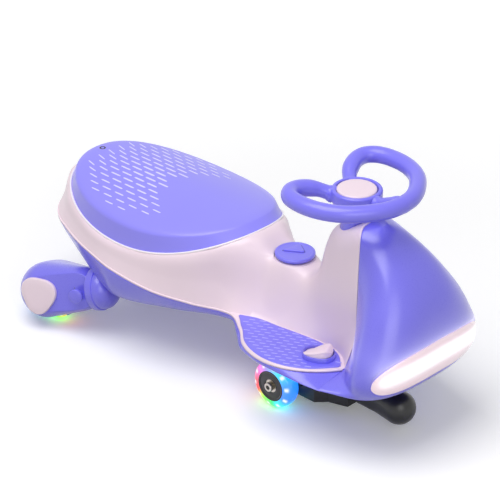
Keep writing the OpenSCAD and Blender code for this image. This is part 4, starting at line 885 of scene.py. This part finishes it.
@dataclass
class FootMat:
    """Raised mat on a foot platform with small staggered dashes."""

    form: BodyForm
    rear: float = -168.0
    front: float = 50.0
    level: float = 135.15
    depth: float = 2.0
    inner: float = 2.5
    outer: float = 6.0
    dash_pitch: tuple[float, float] = (17.0, 8.2)
    dash_size: tuple[float, float] = (10.5, 2.3)
    dash_turn: float = -0.5

    def edges(self, u: Array) -> tuple[Array, Array]:
        """Middle and half width of the mat across the platform."""
        y, _ = self.form.edge_at(u)
        f = self.form.foot_at(u)
        ends = taper(u, self.front - 40, self.front + 1, 2.4) * taper(u, self.rear + 26, self.rear - 2, 2)
        near, far = f + self.inner, y - self.outer
        return (near + far) / 2, np.maximum(2, (far - near) / 2) * ends

    def build(self, side: Side) -> None:
        """Makes one mat and its dashes."""
        u = self.rear + (self.front - self.rear) * (1 - np.cos(np.linspace(0, np.pi, 70))) / 2
        mid, half = self.edges(u)
        c = np.sin(np.linspace(-1, 1, 31) * np.pi / 2)
        y = mid[:, None] + half[:, None] * c
        roll = self.depth * np.sqrt(np.clip(1 - np.abs(c) ** 14, 0, 1))
        uu = np.broadcast_to(u[:, None], y.shape)
        top = np.stack([uu, side.value * y, np.broadcast_to(self.level + roll, y.shape)], -1)
        low = np.stack([uu, side.value * y, np.full(y.shape, self.level)], -1)
        make_piece(f"foot_mat_pad_{side.label}", pad_grid(top, low), "body", LILAC,
                   [f"foot_mat_{side.label}"])
        self.dashes(side)

    def dashes(self, side: Side) -> None:
        """Dashes in staggered rows turned in to the tower, kept inside the mat's edge and clear of the pedal."""
        i, j = np.meshgrid(np.arange(-14, 15), np.arange(-18, 19), indexing="ij")
        c, q = math.cos(self.dash_turn), math.sin(self.dash_turn)
        first, second = self.dash_pitch[0] * (i + 0.5 * (j % 2)), self.dash_pitch[1] * j
        x, y = -52 + first * c - second * q, 106 + first * q + second * c
        mid, half = self.edges(x)
        keep = (np.abs(y - mid) < half - 4.5) & (x < self.front - 8) & (x > self.rear + 6)
        if side is Side.RIGHT:
            keep &= np.hypot((x - 8.5) / 33, (y - 91) / 27) > 1
        x, y = x[keep][:, None, None], y[keep][:, None, None]
        aa, bb = np.meshgrid(np.linspace(-1, 1, 7), np.linspace(-1, 1, 3), indexing="ij")
        along, across = aa * self.dash_size[0] / 2, bb * self.dash_size[1] / 2
        px = x + along * c - across * q
        py = side.value * (y + along * q + across * c)
        lift = np.where((np.abs(aa) > 0.99) | (np.abs(bb) > 0.99), -0.1, 0.45)
        top = np.stack([px, py, np.broadcast_to(self.level + self.depth + lift, px.shape)], -1)
        make_piece(f"mat_dashes_{side.label}", [Patch(g, flip=side is Side.RIGHT) for g in top], "body",
                   MAT_DASH, weld=False)


@dataclass
class PowerButton:
    """Mushroom push button with a raised triangle, on a round boss of the saddle."""

    back: float = -127.0
    radius: float = 32.5
    stem: float = 26.0
    top: float = 235.0
    under: float = 229.5
    boss: float = 226.0
    corners: tuple[tuple[float, float], ...] = ((-17.0, -13.0), (14.5, 7.5), (-8.5, 21.5))

    def triangle(self) -> Array:
        """Outline of the raised triangle: each corner is a quadratic arc between points a fifth along its sides."""
        c = np.asarray(self.corners) * 0.95 + [self.back, 0]
        back, ahead = np.roll(c, 1, 0), np.roll(c, -1, 0)
        t = np.linspace(0, 1, 14)[:, None]
        arcs = [(1 - t) ** 2 * (p + 0.2 * (q - p)) + 2 * t * (1 - t) * p + t**2 * (p + 0.2 * (r - p))
                for p, q, r in zip(c, back, ahead)]
        return np.concatenate(arcs)

    def build(self) -> None:
        """Makes the boss, the button and its raised triangle, set on a darker ring that is painted shade along the
        plate's edge.
        """
        at, r, stem, top = (self.back, 0, 0), self.radius, self.stem, self.top
        collar = rounded([(stem + 0.4, 196, 0), (stem + 0.4, self.boss, 0.8), (r + 0.3, self.boss, 0.8),
                          (r + 0.3, 190, 0)])
        make_piece("button_boss", [revolve(collar, at, UP, 72)], "body", PINK, ["button_bezel"], 1.0)
        cap = rounded([(0, 214, 0), (stem, 214, 1), (stem, self.under, 0.3), (r, self.under, 1.2),
                       (r, top - 0.6, 2.2), (r - 4.5, top, 1), (r - 5.5, top - 0.7, 0.6), (0, top - 0.5, 0)])
        make_piece("power_button_cap", [revolve(cap, at, UP, 72)], "power", LILAC, ["power_button"])
        line = self.triangle()
        core = line.mean(0)
        plate = ((1.04, -1.2), (1.04, 1.4), (1.02, 2.2), (0.97, 2.7), (0.9, 2.8), (0.0, 2.8))
        border = ((1.2, -0.6), (1.2, 0.65), (0.0, 0.65))
        # The dark ring below the triangle is painted shade along the plate's edge, not a moulded border.
        for name, levels, finish in (("button_triangle", plate, LILAC), ("button_painted_shade_border", border, PAINTED_SHADE_VIOLET)):
            rings = np.stack([np.concatenate((core + (line - core) * g, np.full((len(line), 1), top - 1 + h)), -1)
                              for g, h in levels])
            make_piece(name, [Patch(rings, wrap_columns=True)], "power", finish, sharp=60)


@dataclass
class Pedal:
    """Hinged wedge pedal, low and narrow behind, high and wide in front, that dips into a rounded cup."""

    rear: float = -14.0
    length: float = 45.0
    middle: float = -91.0
    width: float = 36.0
    floor: float = 137.15
    height: float = 21.0
    cup: float = 8.5
    turn: float = 0.42
    travel: float = math.radians(7)

    def plan(self, t: Array, grow: float) -> Array:
        """Outline seen from above about its own middle: a superellipse of power 2.5, grown all round."""
        c, s = np.cos(t), np.sin(t)
        return np.stack([(self.length / 2 + grow) * np.sign(c) * np.abs(c) ** 0.8,
                         (self.width / 2 + grow) * np.sign(s) * np.abs(s) ** 0.8], -1)

    def place(self, xy: Array) -> Array:
        """Plan points from the pedal's middle, turned towards the tower and carried to their place."""
        c, s = math.cos(self.turn), math.sin(self.turn)
        return np.stack([xy[..., 0] * c - xy[..., 1] * s + self.rear + self.length / 2,
                         xy[..., 0] * s + xy[..., 1] * c + self.middle], -1)

    def roof(self, x: Array) -> Array:
        """Height of the pedal's top along its length."""
        share = x / self.length + 0.5
        return self.floor + keyed(((0, 8.8), (0.12, 9.8), (0.4, 14.2), (0.7, 19.2), (0.84, self.height - 0.3),
                                   (0.93, 18.0), (1, 12.5)), share)

    def base(self, x: Array) -> Array:
        """Height of the pedal's underside, which rises forward by its travel."""
        return self.floor + 2.9 + np.maximum(0, x - self.rear - 6.5) * math.tan(self.travel)

    def build(self) -> None:
        """Makes the pedal and its cup.

        The pedal's rings shrink to the middle over a rolled edge, and lean out to a rear point.
        """
        t = np.linspace(0, 2 * np.pi, 96, endpoint=False)
        edge = 0.78
        share = np.concatenate((np.linspace(0, 1, 8), np.ones(6), 1 - np.linspace(0, 1, 22) ** 1.6))
        rise = np.concatenate((np.zeros(8), np.linspace(0, edge, 6),
                               edge + (1 - edge) * np.sin(np.linspace(0, np.pi / 2, 22))))
        xy = self.plan(t, -0.2) * share[:, None, None]
        wide = smooth(xy[..., 0] / self.length + 0.5, 0, 0.75)
        up = smooth(rise, 0.1, 0.6)[:, None]
        xy[..., 1] = xy[..., 1] * (1 - up * (0.58 - 0.52 * wide)) - up * 0.26 * self.width * (1 - wide)
        high, xy = self.roof(xy[..., 0]), self.place(xy)
        low = self.base(xy[..., 0])
        z = low + (high - low) * rise[:, None]
        make_piece("pedal_pad", [Patch(np.concatenate((xy, z[..., None]), -1), wrap_columns=True)], "pedal",
                   PINK, ["accelerator_pedal"], sharp=60)
        levels = [(2.6, 0.0), (3.2, 0.4), (3.2, self.cup - 1.4), (2.8, self.cup - 0.4), (2.2, self.cup),
                  (1.6, self.cup - 0.3), (1.2, self.cup - 1), (1.2, 1.2), (-17.9, 1.2)]
        rings = np.stack([np.concatenate((self.place(self.plan(t, g)), np.full((len(t), 1), self.floor + h)), -1)
                          for g, h in levels])
        make_piece("pedal_cup", [Patch(rings, wrap_columns=True)], "body", VIOLET,
                   ["pedal_base", "pedal_pin"], outward=False)


# Steering.


@dataclass
class Steering:
    """Heart-shaped rim, hub with its cap, and the collar into the tower."""

    rim_r: float = 13.5
    hub_z: float = 394.0
    hub_r: float = 40.0
    collar_z: float = 308.0
    x_keys: Keys = ((0, 92), (0.12, 88), (0.25, 74), (0.38, 49), (0.5, 17), (0.6, -15), (0.7, -44), (0.79, -60),
                    (0.86, -61), (0.93, -49), (1, -26))
    y_keys: Keys = ((0, 0), (0.12, 26), (0.25, 54), (0.38, 83), (0.5, 100), (0.6, 105), (0.7, 100), (0.79, 84),
                    (0.86, 63), (0.93, 38), (1, 17))
    z_keys: Keys = ((0, 398), (0.75, 398), (0.86, 395), (0.93, 388.5), (1, 378))

    def path(self, t: Array) -> Array:
        """Centre line from one side of the hub round both lobes to the other, t from -1 to 1."""
        a = np.abs(t)
        return np.stack([keyed(self.x_keys, a), np.sign(t) * keyed(self.y_keys, a), keyed(self.z_keys, a)], -1)

    def build(self) -> None:
        """Makes the rim with its spoke, the hub and the cap."""
        t = np.linspace(-0.99, 0.99, 281)
        reach = np.hypot(*self.path(t)[:, :2].T)
        radius = self.rim_r - 2.2 * smooth(reach, 75, 52) + 2.6 * smooth(reach, 46, 39)
        spoke_x = np.linspace(34, 88, 28)
        spoke = np.stack([spoke_x, 0 * spoke_x, 381 + 16 * smooth(spoke_x, 36, 86)], -1)
        spoke_r = 9.5 + 3.0 * smooth(spoke_x, 68, 86) + 2.8 * (1 - smooth(spoke_x, 38, 52))
        make_piece("steering_rim_skin", [tube(self.path(t), radius, 32), tube(spoke, spoke_r, 24, up=(0, 1, 0))],
                   "steering", LILAC, ["steering_rim"])
        z, r, foot = self.hub_z, self.hub_r, self.collar_z
        hub = rounded([(11, foot, 0), (24, foot, 1), (24, z - 36, 5), (r - 5, z - 28, 6), (r, z - 19, 7),
                       (r, z - 2, 5), (r - 4, z + 0.3, 3), (33.2, z - 0.6, 1.2), (32.4, z - 10.3, 0.5),
                       (0, z - 10.3, 0)])
        make_piece("steering_hub_skin", [revolve(hub, CENTRE, UP, 96)], "steering", LILAC,
                   ["steering_hub"])
        cap = rounded([(0, z - 8, 0), (31.4, z - 8, 0.8), (31.4, z - 1.2, 2), (28, z + 0.4, 2.5), (0, z + 0.8, 0)], 6)
        make_piece("horn_cap", [revolve(cap, CENTRE, UP, 96)], "horn", PINK, ["horn_button"])


# Wheels and running gear.


@dataclass
class Wheel:
    """Clear lit tyre on a black hub with a bolt at its middle."""

    end: str
    side: Side
    place: tuple[float, float]
    radius: float = 40.0
    width: float = 30.0
    hub_r: float = 26.0
    bore_r: float = 11.0
    lamps: int = 10
    lamp_ring: float = 34.0

    @property
    def body(self) -> str:
        """Body that the wheel turns with."""
        return f"{self.end}_wheel_{self.side.label}"

    def glow(self, p: Array) -> Array:
        """Light of the tyre: hue runs round the wheel, with bright patches at even steps on both its walls."""
        ahead, up = p[:, 0] - self.place[0], p[:, 2] - self.radius
        a = np.arctan2(up, ahead if self.end == "front" else -ahead)
        stops = np.radians([-180, -150, -118, -84, -58, -25, 20, 60, 110, 150, 180])
        hues = np.array([[1.0, 0.05, 0.07], [1.0, 0.03, 0.0], [0.25, 1.0, 0.0], [0.0, 1.0, 0.12], [0.0, 0.7, 1.0],
                         [0.0, 0.16, 1.0], [0.0, 0.22, 1.0], [0.0, 0.6, 1.0], [0.3, 0.2, 1.0], [1.0, 0.1, 0.4],
                         [1.0, 0.05, 0.07]])
        colour = np.stack([np.interp(a, stops, hues[:, i]) for i in range(3)], -1)
        step = np.clip(np.cos(a * self.lamps + 1.6 * np.sign(p[:, 1] - self.place[1])), 0, 1) ** 2
        patch = step * np.exp(-((np.hypot(up, ahead) - self.lamp_ring) / 3.2) ** 4)
        return colour * (1 - 0.8 * patch[:, None]) + 0.75 * patch[:, None]

    def build(self) -> None:
        """Makes the tyre and the hub."""
        r, h, b, w = self.radius, self.hub_r, self.bore_r, self.width / 2
        at, axis, side = (self.place[0], self.place[1], r), (0, self.side.value, 0), self.side.label
        wall = [(h, -w + 0.5, 0), (31, -w, 2), (37, -w + 3, 5), (r, -w + 9, 5)]
        wall += [(q, -z, roll) for q, z, roll in wall[::-1]]
        tyre = make_piece(f"{self.end}_tyre_skin_{side}", [revolve(rounded(wall, 8), at, axis, 144)], self.body,
                          TYRE, [f"{self.end}_tyre_{side}"], outward=False)
        paint(tyre, "light", self.glow)
        paint(tyre, "tint", lambda p: np.broadcast_to(srgb(96, 116, 128), (len(p), 3)))
        hub = rounded([(9, -w + 9, 0), (b, -w + 9, 0), (b, -w + 1, 0.4), (22, -w + 1, 0.5), (23, -w, 0.6),
                       (h, -w, 0.4), (h, w, 0.4), (23.5, w, 0.8), (22, w - 1.6, 0.8), (15, w - 0.6, 1),
                       (b, w - 1, 0.4), (b, w - 9, 0), (9, w - 9, 0), (9, -w + 9, 0)])
        make_piece(f"{self.end}_hub_skin_{side}", [revolve(hub, at, axis, 96)], self.body, HUB_BLACK,
                   [f"{self.end}_hub_{side}"])


@dataclass
class Pod:
    """Rear wheel pod: a bulb over the wheel and a neck running forward into a collar of the pan."""

    side: Side
    bulb: tuple[float, float, float] = (-556.5, 140.2, 54.0)
    inner: tuple[float, float, float] = (-554.0, 118.0, 54.0)
    neck: tuple[float, float, float] = (-490.0, 126.0, 76.0)
    bulb_r: float = 47.5
    neck_r: float = 38.0
    start: float = 99.0
    flat: float = 36.0
    wall: float = 2.0
    wheel_hole: Hole = Hole((-554.0, 127.5), (42.0, 18.0), 6.0, -5.0, 46.0)
    cover_r: float = 31.0

    def at(self, p: Sequence[float]) -> Array:
        """A place given for the left side, carried to this side."""
        return np.asarray(p, float) * [1, self.side.value, 1]

    def skin(self) -> Patch:
        """Hull of three balls, from the farthest reach of the balls along each direction.

        The hull is cut flat where the cover and the collar meet it, and opened below for the wheel.
        """
        a, e = np.meshgrid(np.linspace(0, 2 * np.pi, 180, endpoint=False), np.linspace(-np.pi / 2, np.pi / 2, 121),
                           indexing="ij")
        d = np.stack([np.cos(a) * np.cos(e), np.sin(a) * np.cos(e), np.sin(e)], -1)
        balls = [(self.at(self.bulb), self.bulb_r), (self.at(self.inner), self.bulb_r - 4.5),
                 (self.at(self.neck), self.neck_r)]
        reach = np.stack([d @ c + r for c, r in balls], -1)
        weight = np.exp((reach - reach.max(-1, keepdims=True)) / 2.5)
        weight /= weight.sum(-1, keepdims=True)
        points = sum(weight[..., i : i + 1] * (c + r * d) for i, (c, r) in enumerate(balls))
        for way, limit in ((self.arm, self.start - 0.3), (self.out, self.flat)):
            points = points - np.maximum(0, (points - self.at(self.bulb)) @ way - limit)[..., None] * way
        skin = Patch(points, wrap_rows=True)
        x, y = self.wheel_hole.centre
        skin.punch(replace(self.wheel_hole, centre=(x, self.side.value * y)))
        return skin

    @property
    def arm(self) -> Array:
        """Direction from the bulb to the collar."""
        return unit(self.at((92, -24, 28)))

    @property
    def out(self) -> Array:
        """Direction that the cover faces."""
        return unit(self.at((0.34, 0.913, 0.223)))

    def collar(self) -> None:
        """Stepped round collar that runs into the pan, rounded at its nose."""
        nose = [(35 * math.cos(x), 15 + 25 * math.sin(x)) for x in np.linspace(0.1, math.pi / 2, 14)]
        edge = rounded([(0, 0, 0), (37, 0, 2.2), (37, 12.5, 2.2), (35, 13, 0)])
        skin = revolve(edge + nose, self.at(self.bulb) + self.start * self.arm, self.arm, 72)
        make_piece(f"pod_collar_skin_{self.side.label}", [skin], "body", VIOLET,
                   [f"pod_collar_{self.side.label}"])

    def cover(self) -> None:
        """Cover with a soft three-cornered outline, one corner down, and a rolled edge."""
        down = unit(np.array([0, 0, -1.0]) + self.out[2] * self.out)
        across = np.cross(self.out, down)
        t = np.linspace(0, 2 * np.pi, 120, endpoint=False)
        reach = self.cover_r * (1 + 0.09 * np.cos(3 * t))[:, None]
        line = reach * (np.cos(t)[:, None] * down + np.sin(t)[:, None] * across)
        levels = [(0.0, 0.0), (1.0, 0.0), (1.0, 3.4), (0.99, 4.6), (0.965, 5.5), (0.93, 5.9), (0.6, 6.0), (0.0, 6.0)]
        rings = np.stack([self.at(self.bulb) + line * g + (self.flat + 0.05 + h) * self.out for g, h in levels])
        make_piece(f"pod_cover_skin_{self.side.label}", [Patch(rings, wrap_columns=True)], "body",
                   PINK, [f"pod_cover_{self.side.label}"])

    def plug(self) -> None:
        """Round plug over the pod's bolt, sunk into the neck."""
        peg = unit(self.at((0.48, 0.86, 0.12)))
        root = self.at(self.neck) + (self.neck_r - 4.6) * peg
        profile = rounded([(0, 0, 0), (12, 0, 0), (12, 4.2, 1.2), (10.6, 5.4, 1), (9.8, 4.9, 0.6), (8.6, 5.7, 1.2),
                           (0, 6.5, 0)])
        make_piece(f"pod_plug_skin_{self.side.label}", [revolve(profile, root, peg, 48)], "body",
                   VIOLET, [f"pod_plug_{self.side.label}"])

    def build(self) -> None:
        """Makes the pod's skin, its collar, its cover and the plug over its bolt."""
        make_piece(f"rear_pod_skin_{self.side.label}", [self.skin()], "body", VIOLET,
                   [f"rear_pod_{self.side.label}"], self.wall, outward=False)
        self.collar()
        self.cover()
        self.plug()


@dataclass
class RunningGear:
    """Black anti-tip tongue with its knob under the steering column, and the front axle."""

    knob: tuple[float, float, float] = (97.0, 0.0, 41.0)
    knob_r: float = 27.0
    tongue_end: float = 26.0
    axle: tuple[float, float, float] = (-93.0, 0.0, 40.0)
    axle_end: float = 98.5

    def build(self) -> None:
        """Makes the tongue and the axle."""
        self.tongue()
        self.front_axle()

    def tongue(self) -> None:
        """Tongue of superellipses along the car that swell into a ball."""
        (x, _, z), r, first = self.knob, self.knob_r, self.tongue_end
        ball = r * np.sin(np.linspace(0, np.pi / 2, 24))
        u = np.concatenate((np.linspace(first, x, 48), x + ball[1:]))
        end = np.sqrt(np.clip(r * r - np.maximum(0, u - x) ** 2, 0, None))
        half = np.where(u < x, keyed(((first, 22), (46, 22), (64, 22.5), (82, 25), (x, r), (112, r)), u), end)
        tall = np.where(u < x, keyed(((first, 17.5), (46, 18), (64, 19.5), (82, 24), (x, r), (112, r)), u), end)
        bend = (0.6 + 0.4 * smooth(u, 50, x))[:, None]
        a = np.linspace(0, 2 * np.pi, 64, endpoint=False)
        c, q = np.cos(a), np.sin(a)
        points = np.stack(np.broadcast_arrays(u[:, None], half[:, None] * np.sign(c) * np.abs(c) ** bend,
                                              z + tall[:, None] * np.sign(q) * np.abs(q) ** bend), -1)
        root = np.broadcast_to([first, 0, z], (1, len(a), 3))
        make_piece("anti_tip_tongue", [Patch(np.concatenate((root, points)), wrap_columns=True)], "steering",
                   KNOB, ["anti_tip_knob", "anti_tip_arm"])

    def front_axle(self) -> None:
        """Axle with a rounded head at each end, each with a six-sided socket."""
        e = self.axle_end
        profile = rounded([(0, -e + 3.2, 0), (3.9, -e + 3.2, 0), (3.9, -e + 0.2, 0.3), (7, -e + 0.2, 0.6),
                           (7.5, -e + 1, 0.4), (7.5, -e + 5.5, 0), (4, -e + 5.5, 0)])
        profile += [(q, -h) for q, h in profile[::-1]]
        make_piece("front_axle_rod", [revolve(profile, self.axle, (0, 1, 0), 48)], "steering", STEEL,
                   ["front_axle"])
        for side in Side:
            socket = revolve([(0, e - 3.1), (3.7, e - 3.1), (3.7, e - 2.2), (2.6, e - 2.2), (0, e - 2.9)], self.axle,
                             (0, side.value, 0), 6)
            make_piece(f"axle_socket_{side.label}", [socket], "steering", HUB_BLACK)


# Carried-over solids, studio and camera.


FINISH_OF_SLOT: dict[str, Plastic] = {
    "violet_plastic": VIOLET, "lilac_plastic": LILAC, "pink_plastic": PINK, "black_plastic": BLACK, "steel": STEEL,
    "nylon": NYLON, "circuit": CIRCUIT, "battery": CASE, "motor": MOTOR, "lamp_lens": PEARL, "tyre_clear": PEARL}


def dress_solids() -> None:
    """Gives every solid that still shows the finish of its record slot."""
    slots = {s["node"]: s["material_slot"] for s in frame["record"]["subparts"]}
    for name, node in frame["nodes"].items():
        if not node.hide_render:
            dress(node, FINISH_OF_SLOT[slots[name]])
            log.info("solid %s keeps its shape", name)


def pose(columns: Sequence[Array], at: Sequence[float]) -> Matrix:
    """Matrix with three directions as its columns and a place in metres."""
    m = np.eye(4)
    m[:3, :3], m[:3, 3] = np.stack(columns, 1), at
    return Matrix(m.tolist())


@dataclass
class Studio:
    """Pale floor, soft lamps and the camera at the photograph's angle."""

    azimuth: float = 43.74
    elevation: float = 28.97
    distance: float = 2800.0 / 0.628
    across: float = -163.06
    up: float = 249.76
    sensor: float = 36.0
    lens: float = 2800.0 * 36 / 500
    floor_half: float = 9.0
    floor_shown: Rgb = (0.98, 0.98, 0.985)
    floor_grey: float = 0.48
    fade: tuple[float, float] = (0.5, 2.2)
    fade_light: tuple[float, float] = (0.14, 0.75)
    world: float = 0.38

    def camera(self) -> None:
        """Places the camera from its angles, distance and offsets."""
        a, e = math.radians(self.azimuth), math.radians(self.elevation)
        back = np.array([math.sin(a) * math.cos(e), -math.cos(a) * math.cos(e), math.sin(e)])
        right = np.array([math.cos(a), math.sin(a), 0])
        up = np.cross(back, right)
        at = (right * self.across + up * self.up + back * self.distance + [AXIS_X, 0, 0]) / MM_PER_M
        data = bpy.data.cameras.new("view")
        data.sensor_width, data.lens, data.clip_end = self.sensor, self.lens, 50
        cam = bpy.data.objects.new("view", data)
        bpy.context.scene.collection.objects.link(cam)
        cam.matrix_world = pose((right, up, back), at)
        bpy.context.scene.camera = cam

    def floor(self) -> None:
        """A wide pale floor that keeps the shadow and fades to white, to the camera and in reflections."""
        h = self.floor_half
        mesh = bpy.data.meshes.new("floor")
        mesh.from_pydata([(-h, -h, 0), (h, -h, 0), (h, h, 0), (-h, h, 0)], [], [(0, 1, 2, 3)])
        floor = bpy.data.objects.new("floor", mesh)
        bpy.context.scene.collection.objects.link(floor)
        m, n, shader = new_material("floor_pale")
        shown = n.seen()
        mix = n.add("ShaderNodeMix", data_type="RGBA")
        mix.inputs[6].default_value = (self.floor_grey, self.floor_grey, self.floor_grey, 1)
        mix.inputs[7].default_value = (*self.floor_shown, 1)
        n.link(shown, mix.inputs[0])
        n.link(mix.outputs[2], shader.inputs["Base Color"])
        reach = n.add("ShaderNodeVectorMath", operation="LENGTH")
        n.link(n.add("ShaderNodeNewGeometry").outputs["Position"], reach.inputs[0])
        far = n.add("ShaderNodeMapRange", interpolation_type="SMOOTHSTEP")
        for k, value in enumerate((*self.fade, *self.fade_light), 1):
            far.inputs[k].default_value = value
        n.link(reach.outputs["Value"], far.inputs[0])
        white = n.add("ShaderNodeMath", operation="MULTIPLY")
        n.link(shown, white.inputs[0])
        n.link(far.outputs[0], white.inputs[1])
        n.link(white.outputs[0], shader.inputs["Emission Color"])
        for label, value in (("Emission Strength", 1.0), ("Roughness", 0.8), ("Specular IOR Level", 0.1)):
            shader.inputs[label].default_value = value
        floor.data.materials.append(m)

    def lamp(self, name: str, at: Sequence[float], towards: Sequence[float], size: float, power: float) -> None:
        """A square soft white lamp at a place in metres, turned towards a point."""
        data = bpy.data.lights.new(name, "AREA")
        data.size, data.energy = size, power
        lamp = bpy.data.objects.new(name, data)
        bpy.context.scene.collection.objects.link(lamp)
        w = unit(np.asarray(at, float) - np.asarray(towards, float))
        u = unit(np.cross(UP, w))
        lamp.matrix_world = pose((u, np.cross(w, u), w), at)

    def light(self) -> None:
        """World and lamps at a plain level; the world shows white to the camera and in reflections."""
        scene = bpy.context.scene
        world = bpy.data.worlds.new("studio")
        world.use_nodes = True
        scene.world = world
        background = world.node_tree.nodes["Background"]
        background.inputs["Color"].default_value = (1.0, 1.0, 1.0, 1)
        sky = Nodes(world.node_tree)
        level = sky.add("ShaderNodeMapRange")
        level.inputs[3].default_value, level.inputs[4].default_value = self.world, 1.0
        sky.link(sky.seen(), level.inputs[0])
        sky.link(level.outputs[0], background.inputs["Strength"])
        scene.view_settings.view_transform = "Standard"
        self.lamp("key", (-0.1, -1.0, 3.1), (0, 0, 0.2), 2.4, 66)
        self.lamp("front", (2.0, -1.3, 1.3), (0.3, 0, 0.25), 1.4, 13)

    def build(self) -> None:
        """Camera, floor and light."""
        self.camera()
        self.floor()
        self.light()


def main() -> None:
    """Builds the car's pieces in order, dresses the solids and sets the studio."""
    logging.basicConfig(level=logging.INFO, format="%(name)s %(message)s")
    Studio().build()
    form = BodyForm()
    form.build()
    Headlight().build(form)
    Seat().build()
    for side in Side:
        FootMat(form).build(side)
        Wheel("front", side, (-93.0, side.value * 77.5)).build()
        Wheel("rear", side, (-554.0, side.value * 127.5)).build()
        Pod(side).build()
    PowerButton().build()
    Pedal().build()
    Steering().build()
    RunningGear().build()
    dress_solids()


if __name__ == "__main__":
    main()
